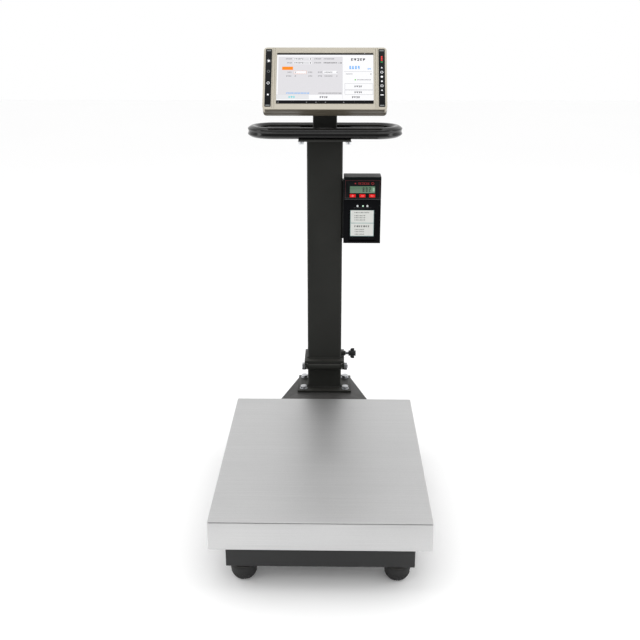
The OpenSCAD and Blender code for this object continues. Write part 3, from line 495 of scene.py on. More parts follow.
def satin_stainless():
    """Stainless sheet: streaks of grain along X, broad soft clouds from handling, and dull fingerprints."""
    mat, tree, shader = blank("satin_stainless")
    where = put(tree, "TexCoord").outputs["Object"]
    streaks = put(tree, "Group", {"Fineness": (5, 1500, 1500)}, node_tree=drawn_grain).outputs["Value"]
    speck = put(tree, "TexNoise", {"Vector": where, "Scale": 1300.0, "Detail": 2.0}).outputs["Fac"]
    clouds = put(tree, "TexNoise", {"Vector": where, "Scale": 5.0, "Detail": 6.0}).outputs["Fac"]
    grain = put(tree, "MixRGB", {"Fac": 0.5, "Color1": streaks, "Color2": speck}).outputs[0]
    tone = fit(tree, grain, (0.3, 0.7), (0.57, 0.71))
    colour = put(tree, "CombineColor", {0: tone, 1: tone, 2: tone}).outputs[0]
    rough = fit(tree, clouds, (0.3, 0.7), (0.44, 0.54))
    height = put(tree, "Bump", {"Height": grain, "Strength": 0.25, "Distance": 0.02 * MM}).outputs[0]
    tree.links.new(colour, shader.inputs["Base Color"])
    tree.links.new(rough, shader.inputs["Roughness"])
    tree.links.new(height, shader.inputs["Normal"])
    set_sockets(shader, Metallic=1.0)
    return mat


def block(name, low, high):
    """A box between two corners."""
    low, high = Vector(low), Vector(high)
    return primitive("cube", name, size=1, location=(low + high) / 2, scale=high - low)


low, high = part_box("platter")
sheet, fold, lip = 2 * MM, 3.2 * MM, 9 * MM
tray = block("platter_tray", low, high)
pick(tray, "FACE", lambda spot, face: face.normal.z < -0.9)
bpy.ops.mesh.inset(thickness=lip)
bpy.ops.mesh.delete(type="FACE")
pick(tray, "EDGE", lambda spot, edge: abs(edge.calc_length()) > 1.2 * lip * 1.42 and (
    spot.z > high.z - 1 * MM or low.z + 1 * MM < spot.z))
bpy.ops.mesh.bevel(offset=fold, segments=5, affect="EDGES")
pick(tray, "EDGE", lambda spot, edge: spot.z < low.z + 0.1 * MM and edge.calc_face_angle(0) > 1)
bpy.ops.mesh.bevel(offset=2.2 * MM, segments=3, affect="EDGES")
apply(tray, "SOLIDIFY", thickness=sheet, offset=-1, use_even_offset=True)
ease(tray, 0.25 * MM, 2, 40)
stand_for(tray, satin_stainless(), "platter")

# ---- column bracket ----
# A 6 mm shelf and an upright plate, welded at right angles with two gussets under them and coated like the
# base. Four hex bolts with washers hold the upright to the base's rear arms.


def laid(piece, start, end, name):
    """A copy of a bar that stands on the origin, laid along a line that starts at one point."""
    way = (Vector(end) - Vector(start)).to_track_quat("Z", "Y").to_matrix().to_4x4()
    return copy_to(piece, name, Matrix.Translation(start) @ way)


def weld(name, start, end, radius=2.2 * MM):
    """A weld bead along a line, with the ripples left by the torch."""
    length = (Vector(end) - Vector(start)).length
    bead = ribbed_rod("bead", radius, length, 2.2 * MM, 0.45 * MM, 12)
    run = laid(bead, start, end, name)
    bpy.data.objects.remove(bead)
    return run


def add_on(piece, material, node):
    """A detail that rides with a CAD node's body, without replacing it."""
    piece.data.materials.clear()
    piece.data.materials.append(material)
    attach(piece, body_of[node])
    return piece


def bolt(name, thread, length, head_flats, head=0.0, washer=1.6 * MM, nut_at=None):
    """A bolt with its head above the origin and its shank below: washer, chamfered head, thread and nut."""
    head = head or 1.3 * thread
    shank = ribbed_rod("shank", thread, length, 1.5 * MM, 0.7 * MM, 16)
    shank.data.transform(Matrix.Translation((0, 0, -length)))
    pieces = [shank]
    top = hexagon("head", head_flats, head)
    top.data.transform(Matrix.Translation((0, 0, washer)))
    pieces.append(top)
    if washer:
        disc = primitive("cylinder", "washer", vertices=40, radius=head_flats * 0.62, depth=washer,
                         location=(0, 0, washer / 2))
        pieces.append(ease(disc, 0.25 * MM))
    if nut_at:
        nut = hexagon("nut", head_flats, 1.5 * thread)
        nut.data.transform(Matrix.Translation((0, 0, -nut_at)) @ Matrix.Rotation(math.pi, 4, "X"))
        pieces.append(nut)
    return join(pieces, name)


def array_of(piece, name, places):
    """One piece made of a copy at each place; the pattern that was copied is taken away."""
    twins = [copy_to(piece, name, place) for place in places]
    bpy.data.objects.remove(piece)
    return join(twins, name)


soften("column_bracket", 0.9 * MM, base_coat, 3)
low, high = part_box("column_bracket")
plate = 6 * MM
plate_back, under_shelf = low.y + plate, high.z - plate
gusset_x, gusset_half, gusset_foot, shelf_weld = 36 * MM, 3.4 * MM, 14 * MM, 105 * MM
for side, face, off in (("left", "out", 1), ("left", "in", -1), ("right", "in", -1), ("right", "out", 1)):
    x = (gusset_x + off * gusset_half) * (-1 if side == "left" else 1)
    foot, top = (x, plate_back, low.z + gusset_foot), (x, plate_back, under_shelf)
    add_on(weld(f"gusset_weld_{side}_{face}", foot, top), base_coat, "column_bracket")
run = weld("shelf_front_weld", (-shelf_weld, plate_back, under_shelf), (shelf_weld, plate_back, under_shelf))
add_on(run, base_coat, "column_bracket")

low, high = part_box("bracket_bolts")
turned = Matrix.Rotation(math.radians(-90), 4, "X")
arm_x, bolt_rows = 75 * MM, (56 * MM, 81 * MM)
places = [Matrix.Translation((x, plate_back, z)) @ turned for x in (-arm_x, arm_x) for z in bolt_rows]
long_bolt = bolt("bracket_bolt", 5 * MM, 22 * MM, 16 * MM)
stand_for(array_of(long_bolt, "bracket_hex_bolts", places), zinc, "bracket_bolts")

# ---- fixed foot of the column ----
# A flange plate, a short square tube and a top plate with the hinge's middle barrel, all welded, and coated
# in a finer charcoal texture than the base. Four bolts, washers and nuts clamp the flange to the shelf.
column_coat = coated("column_powder_coat", (0.0155, 0.0160, 0.0135), grain=0.8 * MM, spread=0.22,
                     gloss=(0.40, 0.50), bump=0.5, bare=(0.11, 0.11, 0.11), worn=0.45, dust=0.06,
                     Specular_IOR_Level=0.35)
soften("column_foot", 0.7 * MM, column_coat, 3)
low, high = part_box("flange_bolts")
flange_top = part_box("column_foot")[0].z + plate
col_y = (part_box("handle_plate")[0].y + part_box("handle_plate")[1].y) / 2
bolt_x, bolt_y = 56 * MM, 38.5 * MM
clamp = bolt("flange_bolt", 5 * MM, flange_top - low.z - 0.5 * MM, 16.5 * MM, nut_at=12 * MM)
places = [(x, col_y + y, flange_top) for x in (-bolt_x, bolt_x) for y in (-bolt_y, bolt_y)]
stand_for(array_of(clamp, "flange_hex_bolts", places), zinc, "flange_bolts")


def weld_round(name, half_x, half_y, y, z, node, radius=2.2 * MM):
    """Weld beads on the four sides of a square tube where it meets a plate."""
    short_x, short_y = half_x - 4 * MM, half_y - 4 * MM
    runs = []
    for side in (-1, 1):
        wall_x, wall_y = side * half_x, y + side * half_y
        runs.append(weld("run", (-short_x, wall_y, z), (short_x, wall_y, z), radius))
        runs.append(weld("run", (wall_x, y - short_y, z), (wall_x, y + short_y, z), radius))
    return add_on(join(runs, name), column_coat, node)


tube_half_x, tube_half_y = 45 * MM, 30 * MM
weld_round("stub_foot_weld", tube_half_x, tube_half_y, col_y, flange_top + 0.6 * MM, "column_foot", 2.6 * MM)

# ---- hinge bolt ----
# The axle is a zinc-plated hex bolt, put through the three barrels from the left. It has a washer under its
# head, and a nut on the right.
low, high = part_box("hinge_bolt")
axis_y, axis_z = (low.y + high.y) / 2, (low.z + high.z) / 2
axle_head, axle_washer, axle_flats = 6.2 * MM, 1.6 * MM, 17 * MM
to_left, to_right = (Matrix.Rotation(math.radians(turn), 4, "Y") for turn in (-90, 90))
pivot = bolt("axle", 5 * MM, high.x - low.x - 8 * MM, axle_flats, head=axle_head, washer=axle_washer)
place = Matrix.Translation((low.x + axle_head + axle_washer, axis_y, axis_z)) @ to_left
stand_for(array_of(pivot, "hinge_axle", [place]), zinc, "hinge_bolt")
low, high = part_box("hinge_nut")
end_nut = hexagon("end_nut", axle_flats, high.x - low.x)
place = Matrix.Translation((low.x, axis_y, axis_z)) @ to_right
stand_for(array_of(end_nut, "hinge_end_nut", [place]), zinc, "hinge_nut")

# ---- column ----
# The folding column is a 90 x 60 mm tube that stands on a hinge plate of its own. It is welded round at both
# ends and coated charcoal like its foot.
soften("column", 0.6 * MM, column_coat, 3)
plate_top, column_top = 235 * MM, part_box("handle_plate")[0].z
weld_round("column_foot_weld", tube_half_x, tube_half_y, col_y, plate_top + 0.5 * MM, "column")
weld_round("column_head_weld", tube_half_x, tube_half_y, col_y, column_top - 0.5 * MM, "column", 1.8 * MM)

# ---- locking screw ----
# A steel screw goes through the boss on the column's side and holds the upright column on its foot. It has a
# moulded black wing on its end, a round hub with two ears.
wing_black = coated("moulded_wing", (0.014, 0.014, 0.015), grain=0.5 * MM, spread=0.15, gloss=(0.30, 0.42),
                    bump=0.2, bare=(0.08, 0.08, 0.08), worn=0.4)
low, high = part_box("lock_screw")
spot = (low + high) / 2
thread = ribbed_rod("lock_thread", (high.z - low.z) / 2, high.x - low.x, 1.25 * MM, 0.6 * MM)
place = Matrix.Translation((low.x, spot.y, spot.z)) @ to_right
stand_for(array_of(thread, "lock_thread", [place]), zinc, "lock_screw")
low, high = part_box("lock_wing")
hub_r, depth, span = 7.5 * MM, high.x - low.x, (high.z - low.z) / 2
hub = primitive("cylinder", "wing_hub", vertices=40, radius=hub_r, depth=depth, location=(0, 0, depth / 2))
pick(hub, "FACE", lambda spot, face: face.normal.z > 0.9)
bpy.ops.mesh.inset(thickness=2 * MM)
grow((0, 0, -1.2 * MM), 0.94)
ears = []
for side in (-1, 1):
    ear = block("ear", (-2.6 * MM, 3 * MM, depth * 0.25), (2.6 * MM, span * 0.8, depth * 0.8))
    pick(ear, "FACE", lambda spot, face: face.normal.y > 0.9)
    grow((0, span * 0.2, depth * 0.1), 0.72, (0, span, depth * 0.6), (1, 0, 1))
    only(ear)
    apply(ear, "BEVEL", width=1.4 * MM, segments=3, limit_method="ANGLE", angle_limit=math.radians(30))
    if side < 0:
        ear.data.transform(Matrix.Rotation(math.pi, 4, "Z"))
    ears.append(ear)
wing = ease(join([hub] + ears, "lock_wing_knob"), 0.4 * MM, 2)
place = Matrix.Translation((low.x, spot.y, spot.z)) @ to_right @ Matrix.Rotation(math.pi / 2, 4, "Z")
stand_for(array_of(wing, "lock_wing_knob", [place]), wing_black, "lock_wing")

# ---- handle plate and carrying ring ----
# The ring is one glossy black moulding whose section has an upper and a lower lobe with a finger groove
# between them. It sits on the column's top plate and four bolts come up into it from below.
soften("handle_plate", 0.8 * MM, column_coat, 3)
ring_black = coated("gloss_black_ring", (0.008, 0.008, 0.008), grain=6 * MM, spread=0.1, gloss=(0.12, 0.22),
                    bump=0.08, bare=(0.05, 0.05, 0.05), worn=0.25, Coat_Weight=0.1, Coat_Roughness=0.08)
low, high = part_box("handle_ring")
wide, tall = 26 * MM, high.z - low.z
middle = (low + high) / 2
bend_r = (high.y - low.y - wide) / 2
bend_x = high.x - wide / 2 - bend_r
hoop = primitive("circle", "carrying_hoop", vertices=48, radius=1, rotation=(0, math.radians(90), 0))
hoop.data.transform(Matrix.Diagonal((1, wide / 2, tall / 2, 1)))
for reach, squeeze in ((0.28, 0.93), (0.18, 0.93), (0.08, 0.94)):
    pick(hoop, "VERT", lambda spot, vert: abs(spot.z) < reach * tall / 2)
    bpy.ops.transform.resize(value=(1, squeeze, 1), center_override=(0, 0, 0))
for reach in (0.35, 0.5, 0.62):
    pick(hoop, "VERT", lambda spot, vert: 0.3 * tall / 2 < abs(spot.z) < 0.92 * tall / 2
         and abs(abs(spot.z) - reach * tall / 2) < 0.15 * tall / 2 and abs(spot.y) < 0.47 * wide)
    bpy.ops.transform.resize(value=(1, 1.05, 1), center_override=(0, 0, 0))
only(hoop)
hoop.data.transform(Matrix.Translation((-bend_x, middle.y - bend_r, middle.z)))
pick(hoop, "VERT")
for side in (1, -1):
    grow((side * 2 * bend_x, 0, 0))
    bpy.ops.mesh.spin(steps=28, angle=-math.pi, center=(side * bend_x, middle.y, middle.z), axis=(0, 0, 1))
outward(hoop)
bpy.ops.object.shade_smooth()
stand_for(hoop, ring_black, "handle_ring")

low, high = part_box("handle_bolts")
flip = Matrix.Rotation(math.pi, 4, "X")
ring_washer, ring_bolt_x = 1.4 * MM, 58 * MM
ring_head = column_top - low.z - ring_washer
ring_bolt = bolt("ring_bolt", 4 * MM, 18 * MM, 13 * MM, head=ring_head, washer=ring_washer)
places = [Matrix.Translation((x, middle.y + y, column_top)) @ flip
          for x in (-ring_bolt_x, ring_bolt_x) for y in (-bend_r, bend_r)]
stand_for(array_of(ring_bolt, "ring_hex_bolts", places), zinc, "handle_bolts")

# ---- neck and tilt pivot ----
# A short square post with two ears stands inside the ring. The display's bracket turns on a pin through the
# ears, and the nuts on it are tightened until friction holds the display at any lean.
soften("display_neck", 0.7 * MM, column_coat, 3)
soften("tilt_bracket", 0.5 * MM, column_coat)
soften("tilt_pin", 0.4 * MM, zinc)
soften("neck_screws", 0.25 * MM, zinc)
soften("tilt_screws", 0.25 * MM, zinc)

# ---- display bezel ----
# The front shell is an 18 mm deep moulding with round corners, lacquered champagne, with the darker khaki
# laid on its underside as painted shade. Two fine grooves run down between each key strip and the screen, and
# a narrow step frames the opening.
lean = math.radians(-35)
size_x, size_v = 302.6 * MM, 170.4 * MM
onto_display = Matrix.Translation((0, 264.0 * MM, 896.0 * MM)) @ Matrix.Rotation(lean, 4, "X")
opening_w, opening_h, opening_v = 236.6 * MM, 139.2 * MM, 15.9 * MM
strip_x, strip_w, strip_h, strip_v = 138.7 * MM, 15 * MM, 158.4 * MM, 7.2 * MM


def round_off(piece, corner, steps):
    """Rounds the four corners of a plate whose thickness is along Y."""
    pick(piece, "EDGE", lambda spot, edge: abs(edge.verts[0].co.y - edge.verts[1].co.y) > 0.01 * MM)
    bpy.ops.mesh.bevel(offset=corner, segments=steps, affect="EDGES")
    return only(piece)


def slab(name, x, v, depth, corner=0.0, steps=5):
    """A plate in the display's own frame: X across, Y into the housing, Z up the face, with round corners."""
    board = block(name, (x[0], depth[0], v[0]), (x[1], depth[1], v[1]))
    if corner:
        round_off(board, corner, steps)
    return board


def cut(piece, *tools):
    """Cuts each tool out of the piece and takes the tool away."""
    for tool in tools:
        apply(piece, "BOOLEAN", operation="DIFFERENCE", object=tool, solver="EXACT")
        bpy.data.objects.remove(tool)
    return piece


def set_in(piece):
    """Moves a piece made in the display's own frame to its place on the leaning display."""
    only(piece)
    piece.data.transform(onto_display)
    return piece


champagne = coated("champagne_lacquer", (0.455, 0.420, 0.345), grain=0.45 * MM, spread=0.07,
                   gloss=(0.34, 0.44), bump=0.12, bare=(0.62, 0.60, 0.56), worn=0.2, dust=0.05,
                   Coat_Weight=0.12, Coat_Roughness=0.25)
# The khaki is darker than the lacquer's own tone: painted shade for the rear shell and the bezel's underside.
khaki_and_painted_shade = coated("khaki_lacquer_and_painted_shade", (0.088, 0.076, 0.056), grain=0.5 * MM, spread=0.1, gloss=(0.38, 0.5),
               bump=0.2, bare=(0.30, 0.28, 0.24), worn=0.3, dust=0.05)
half_w, half_open, opening_top = size_x / 2, opening_w / 2, opening_v + opening_h
wall, rim, ahead = 3 * MM, 1.6 * MM, -1 * MM
bezel = slab("bezel_shell", (-half_w, half_w), (0, size_v), (0, 18 * MM), 9 * MM)
hollow = slab("hollow", (wall - half_w, half_w - wall), (wall, size_v - wall), (wall, 20 * MM), 6 * MM)
window = slab("window", (-half_open, half_open), (opening_v, opening_top), (ahead, 5 * MM), 1 * MM, 2)
step = slab("step", (-half_open - rim, half_open + rim), (opening_v - rim, opening_top + rim),
            (ahead, 0.7 * MM), rim, 2)
cut(bezel, hollow, window, step)
gap, groove_half, groove_end = 0.1 * MM, 0.35 * MM, 2.4 * MM
for side in (-1, 1):
    left, right = side * strip_x - strip_w / 2 - gap, side * strip_x + strip_w / 2 + gap
    cut(bezel, slab("seat", (left, right), (strip_v - gap, strip_v + strip_h + gap), (ahead, 0.8 * MM),
                    2 * MM, 3))
    for x in (side * 123.6 * MM, side * 128.6 * MM):
        cut(bezel, slab("groove", (x - groove_half, x + groove_half), (groove_end, size_v - groove_end),
                        (ahead, 0.45 * MM)))
ease(bezel, 0.5 * MM, 3, 35)
bezel.data.materials.append(champagne)
bezel.data.materials.append(khaki_and_painted_shade)
# Faces under the lower lip get the khaki: painted shade, for a lip that lies in shadow.
for face in bezel.data.polygons:
    face.material_index = int(face.normal.z < -0.75 and face.center.z < 1 * MM)
stand_for(set_in(bezel), None, "display_bezel")

# ---- screen ----
# A glass touch panel over a bright LCD. The picture is thin tiles of light just in front of the glass: a grey
# form on the left, a white price panel on the right, three tabs below and a black band above and below.


def lit(name, colour):
    """A patch of lit screen: its own light through glossy glass, with the panel's faint fine sparkle."""
    mat, tree, shader = blank(name)
    where = put(tree, "TexCoord").outputs["Object"]
    sparkle = put(tree, "TexNoise", {"Vector": where, "Scale": 2600.0, "Detail": 0.0}).outputs["Fac"]
    glow = fit(tree, sparkle, (0.3, 0.7), (0.93, 1.03))
    tone = put(tree, "HueSaturation", {"Value": glow, "Color": (*colour, 1)}).outputs[0]
    tree.links.new(tone, shader.inputs["Emission Color"])
    dark = put(tree, "HueSaturation", {"Value": 0.1, "Color": tone}).outputs[0]
    tree.links.new(dark, shader.inputs["Base Color"])
    set_sockets(shader, Emission_Strength=1.0, Roughness=0.2, Specular_IOR_Level=0.1)
    return mat


inks = {
    "white": lit("lit_white", (0.89, 0.89, 0.91)), "grey": lit("lit_grey", (0.70, 0.69, 0.715)),
    "tab": lit("lit_tab_grey", (0.73, 0.74, 0.76)), "black": lit("lit_black", (0.004, 0.004, 0.005)),
    "dark": lit("lit_dark_text", (0.03, 0.03, 0.035)), "mid": lit("lit_grey_text", (0.22, 0.22, 0.235)),
    "blue": lit("lit_blue", (0.02, 0.36, 0.88)), "teal": lit("lit_teal", (0.03, 0.62, 0.66)),
    "orange": lit("lit_orange", (0.95, 0.26, 0.015)), "green": lit("lit_green", (0.16, 0.55, 0.10)),
    "pale": lit("lit_pale_grey", (0.50, 0.50, 0.52)),
}
tiles = {ink: [] for ink in inks}
left_edge, bottom_edge, tile_back = -opening_w / 2, 25.2 * MM, 0.96 * MM
fronts = {"ground": 0.92, "panel": 0.88, "form": 0.84, "field": 0.80, "mark": 0.76}
one_tile = block("one_tile", (0, 0, 0), (1, 1, 1))


def stretched(low, high):
    """A copy of the one tile, a metre cube, stretched between two corners."""
    low, high = Vector(low), Vector(high)
    return copy_to(one_tile, "tile", Matrix.Translation(low) @ Matrix.Diagonal((*(high - low), 1)))


def tile(ink, x, v, layer="mark"):
    """A patch of the picture, in millimetres from the picture's lower left corner."""
    tiles[ink].append(stretched((left_edge + x[0] * MM, fronts[layer] * MM, bottom_edge + v[0] * MM),
                                (left_edge + x[1] * MM, tile_back, bottom_edge + v[1] * MM)))


def words(ink, x, v, count, tall):
    """A word of made-up signs, each of three bold strokes, starting at x on the line v."""
    bold = 0.27 * tall
    for i in range(count):
        left, middle = x + i * tall * 1.1, (0.15, 0.4, 0.0)[i % 3] * tall
        tile(ink, (left, left + 0.9 * tall), (v + tall - bold, v + tall))
        tile(ink, (left + 0.1 * tall, left + 0.8 * tall), (v + middle, v + middle + bold))
        bar = left + (0.1, 0.35, 0.55, 0.2)[i % 4] * tall
        tile(ink, (bar, bar + bold), (v, v + tall))


def digit_bars(text, x, v, tall, bold, pitch):
    """The bars of a number in seven-segment digits, as left, right, low and high, from x along the line v."""
    lit_bars = {"0": "abcdef", "2": "abged", "6": "afgedc", "8": "abcdefg", "9": "abgfcd"}
    spans = {"a": (0, 1, 2, 2), "d": (0, 1, 0, 0), "g": (0, 1, 1, 1), "b": (1, 1, 1, 2), "c": (1, 1, 0, 1),
             "f": (0, 0, 1, 2), "e": (0, 0, 0, 1)}
    bars, across, up = [], pitch - 3 * bold, (tall - bold) / 2
    for digit in text:
        if digit == ".":
            bars.append((x - 0.8 * bold, x + 0.3 * bold, v, v + bold))
            continue
        for name in lit_bars[digit]:
            x0, x1, v0, v1 = spans[name]
            bars.append((x + x0 * across, x + x1 * across + bold, v + v0 * up, v + v1 * up + bold))
        x += pitch
    return bars


tile("black", (0, 236.6), (-9.3, 134.4), "ground")
tile("white", (0, 236.6), (0, 125.1), "panel")
tile("grey", (3.5, 160.6), (15.2, 119.8), "form")
tile("tab", (0, 79.4), (3.0, 15.1), "form")
tile("pale", (0, 161), (15.1, 15.5), "form")
tile("pale", (161, 161.4), (3.0, 119.8), "form")
words("teal", 30, 6.0, 3, 4.8)
words("dark", 105.6, 6.0, 4, 4.6)
words("dark", 184, 6.0, 4, 4.6)
words("dark", 181.6, 108.4, 5, 6.6)
for bar in digit_bars("0.609", 178, 85.5, 8.4, 1.5, 6.9):
    tile("blue", bar[:2], bar[2:])
words("blue", 222.5, 84, 2, 3.8)
tile("mid", (165, 233), (78.5, 78.9))
words("mid", 169, 70.5, 6, 2.6)
words("dark", 229, 70, 1, 3.2)
tile("green", (190.5, 194), (54.2, 57.6))
words("mid", 196.5, 54.4, 11, 2.8)
for low_edge, high_edge in ((29, 46), (15.4, 27.5)):
    tile("mid", (166.6, 235.3), (low_edge, high_edge), "form")
    tile("white", (167.1, 234.8), (low_edge + 0.5, high_edge - 0.5), "field")
    words("dark", 190, (low_edge + high_edge) / 2 - 2, 4, 4.4)
for v, label, right in ((112, 5, "mid"), (101, 4, "dark")):
    words("mid", 37.5 - 3.2 * label, v, label, 2.9)
    tile("white", (41, 85), (v - 1.6, v + 4.8), "field")
    words("dark", 42.5, v - 0.3, 6, 3.4)
    tile("pale", (64, 79), (v, v + 2.6))
    tile("dark", (80.8, 83.6), (v, v + 2.8))
    words("mid", 92, v, 5, 3.1)
    words(right, 114.8, v, 8 if right == "mid" else 10, 3.0)
tile("pale", (149, 155), (101, 103.6))
tile("dark", (156, 158.6), (101, 103.8))
tile("orange", (13, 39.6), (83, 92))
tile("orange", (41.4, 73), (71.7, 81.2), "form")
tile("white", (42.6, 71.8), (72.9, 80), "field")
tile("white", (114, 148), (73, 80.6), "field")
for v, label in ((75, 3), (64.5, 4)):
    words("mid", 36.5 - 3.3 * label, v, label, 3.0)
    words("dark", 44.5, v, 1, 3.0)
    words("mid", 77.5, v, 3, 3.0)
    words("mid", 101, v, 3, 3.2)
    words("dark" if v > 70 else "mid", 117, v, 6, 3.0)
    words("mid", 146, v, 1, 3.0)
words("blue", 24.4, 17.5, 16, 3.2)
words("mid", 103, 17.5, 16, 3.2)
for x in (4, 73, 96, 119, 163):
    tile("pale", (x, x + 2.0), (-5.8, -4.4))
tile("pale", (214, 216), (128.6, 130))
picture = []
for ink, parts in tiles.items():
    layer = join(parts, "picture_" + ink)
    layer.data.materials.append(inks[ink])
    picture.append(layer)
panel = set_in(join(picture, "screen_picture"))
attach(panel, "display")

glass_black = coated("touch_glass", (0.005, 0.005, 0.006), grain=8 * MM, spread=0.1, gloss=(0.05, 0.10),
                     bump=0.02, Specular_IOR_Level=0.3)
soften("screen_glass", 0.2 * MM, glass_black)

# ---- key strips ----
# Two strips of black polyester film lie in shallow seats, printed with a line at each end and with signs. The
# left one has a sun with rays, two rings and a square, and the right one three red lamps, a green bar and
# seven signs.
film_black = coated("key_film", (0.006, 0.007, 0.0075), grain=0.6 * MM, spread=0.15, gloss=(0.28, 0.38),
                    bump=0.2, Specular_IOR_Level=0.14)
soften("key_strips", 0.25 * MM, film_black)


def printed(name, colour, glow=0.0):
    """A print or a lamp on film: flat colour broken up by the grain of the ink; a glow makes it shine of its
    own, a lamp's light or, on a print, painted light.
    """
    mat = coated(name, colour, grain=0.3 * MM, spread=0.12, gloss=(0.30, 0.40), bump=0.05)
    if glow:
        shader = mat.node_tree.nodes["Principled BSDF"]
        set_sockets(shader, Emission_Color=(*colour, 1), Emission_Strength=glow)
    return mat


# The white print glows faintly of its own: painted light, since the ink is no lamp.
print_white_painted_glow = printed("white_print_painted_glow", (0.78, 0.79, 0.80), 0.15)
print_dim = printed("dim_print", (0.16, 0.17, 0.17))
print_red = printed("red_print", (0.62, 0.02, 0.015), 0.5)
print_green = printed("green_print", (0.03, 0.34, 0.07), 0.5)


def sign(name, side, v, kind, material, size):
    """One printed sign on a key strip, raised by the thickness of the ink."""
    x, y, z = side * strip_x, -0.32 * MM, v * MM
    spot, r, upright = (x, y, z), size / 2 * MM, math.radians(90)
    if kind == "bar":
        mark = slab(name, (x - r, x + r), (z - 0.32 * r, z + 0.32 * r), (y - 0.05 * MM, y + 0.1 * MM),
                    0.2 * MM, 2)
    elif kind == "ring":
        mark = primitive("torus", name, location=spot, rotation=(upright, 0, 0), major_radius=0.8 * r,
                         minor_radius=0.16 * r, major_segments=28, minor_segments=6)
    else:
        sides, turn = {"disc": (28, 0), "triangle": (3, 0), "square": (4, 45)}[kind]
        mark = primitive("cylinder", name, vertices=sides, radius=0.75 * r, depth=0.16 * MM, location=spot,
                         rotation=(upright, math.radians(turn), 0))
        if kind == "disc":
            pick(mark, "FACE", lambda middle, face: face.normal.y < -0.9)
            bpy.ops.mesh.inset(thickness=0.2 * r)
            grow((0, -0.06 * MM, 0), 0.9, spot, (1, 0, 1))
            only(mark)
    return add_on(set_in(mark), material, "key_strips")


sun_v, ray_reach = 132.6, 4.4 * MM
for name, v, kind, ink in (("sun", sun_v, "disc", print_white_painted_glow), ("wheel", 103.6, "ring", print_dim),
                           ("moon", 71.5, "ring", print_white_painted_glow), ("pen", 39.9, "square", print_white_painted_glow)):
    sign("left_sign_" + name, -1, v, kind, ink, 7.6)
for i in range(8):
    turn = math.radians(45 * i)
    out = Matrix.Translation((ray_reach * math.cos(turn), 0, ray_reach * math.sin(turn)))
    ray = sign(f"left_sign_ray_{i}", -1, sun_v, "square", print_white_painted_glow, 1.3)
    ray.data.transform(onto_display @ out @ onto_display.inverted())
for i, v in enumerate((134.8, 139.4, 144)):
    sign(f"right_lamp_{i}", 1, v, "square", print_red, 6.6)
sign("right_lamp_green", 1, 129.6, "bar", print_green, 5.0)
for i, kind in enumerate(("triangle", "ring", "disc", "square", "ring", "triangle", "bar")):
    sign(f"right_sign_{i}", 1, 113.8 - 12.4 * i, kind, print_white_painted_glow, 7.4)
for side, where in ((-1, "left"), (1, "right")):
    for v, end in ((10.8, "low"), (161.3, "high")):
        sign(f"{where}_line_{end}", side, v, "bar", print_dim, 10.5)

# ---- display cover and electronics ----
# The rear shell is lacquered khaki, its tone darkened as painted shade, with upright vents, a rocker switch
# and a power inlet at the bottom. The board and the LCD's frame are behind the glass, and four long screws
# pull the two shells together.
soften("display_cover", 0.45 * MM, khaki_and_painted_shade)
dark_screw = zinc_plate("blackened_screw", (0.10, 0.10, 0.10), 0.35)
soften("display_screws", 0.2 * MM, dark_screw)
moulded_grey = coated("lcd_frame", (0.30, 0.31, 0.32), grain=0.6 * MM, gloss=(0.4, 0.5), bump=0.2)
soften("lcd_panel", 0.4 * MM, moulded_grey)
soldermask = coated("green_soldermask", (0.012, 0.085, 0.032), grain=1.5 * MM, spread=0.3, gloss=(0.25, 0.4),
                    bump=0.25)
soften("main_board", 0.15 * MM, soldermask)
switch_black = coated("moulded_switch", (0.012, 0.012, 0.012), grain=0.5 * MM, gloss=(0.22, 0.32), bump=0.2,
                      bare=(0.07, 0.07, 0.07), worn=0.4)
soften("power_rocker", 0.3 * MM, switch_black, 3)
soften("dc_inlet", 0.3 * MM, switch_black, 3)

# ---- printer housing ----
# A deep moulded case in black ABS on a steel plate, and four screws through both hold it to the column. The
# upper panel is glossy, the lower front is matt, and both have softly rounded edges.
abs_black = coated("abs_matt_black", (0.0035, 0.0036, 0.0045), grain=0.45 * MM, spread=0.12,
                   gloss=(0.42, 0.55), bump=0.25, bare=(0.03, 0.03, 0.035), worn=0.35, dust=0.02,
                   Specular_IOR_Level=0.06)
panel_black = coated("printer_panel_black", (0.004, 0.0055, 0.006), grain=0.5 * MM, spread=0.1,
                     gloss=(0.24, 0.34), bump=0.1, bare=(0.04, 0.04, 0.045), worn=0.3, dust=0.03,
                     Specular_IOR_Level=0.10)
case_black = coated("printer_case_grey", (0.020, 0.021, 0.022), grain=0.45 * MM, spread=0.12,
                    gloss=(0.42, 0.55), bump=0.25, bare=(0.07, 0.07, 0.075), worn=0.35, dust=0.05,
                    Specular_IOR_Level=0.35)
soften("printer_mount", 0.4 * MM, base_coat)
soften("printer_screws", 0.2 * MM, dark_screw)
soften("printer_case", 0.9 * MM, case_black, 3)
soften("printer_panel", 0.5 * MM, panel_black, 3)
soften("printer_front", 0.5 * MM, abs_black, 3)

# ---- printed marks of the panel ----
# A thin red border and a line of small made-up signs are printed on the panel, with a ring as the sign of the
# printer. The ink stands just proud of the plastic.
ink_red = printed("panel_red_print", (0.42, 0.006, 0.012))
border_red = printed("panel_border_print", (0.10, 0.006, 0.012))
ink_pale = printed("panel_pale_print", (0.13, 0.135, 0.14))


def ink_on(node, proud, into):
    """Where a print on that node's front begins and ends in depth, in millimetres."""
    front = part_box(node)[0].y / MM
    return front - proud, front + into


def facing(x, z, y, corner=0.0):
    """A thin print on the printer's front, from y back into it, all in millimetres."""
    thin = stretched((x[0] * MM, y[0] * MM, z[0] * MM), (x[1] * MM, y[1] * MM, z[1] * MM))
    return round_off(thin, corner * MM, 4) if corner else thin


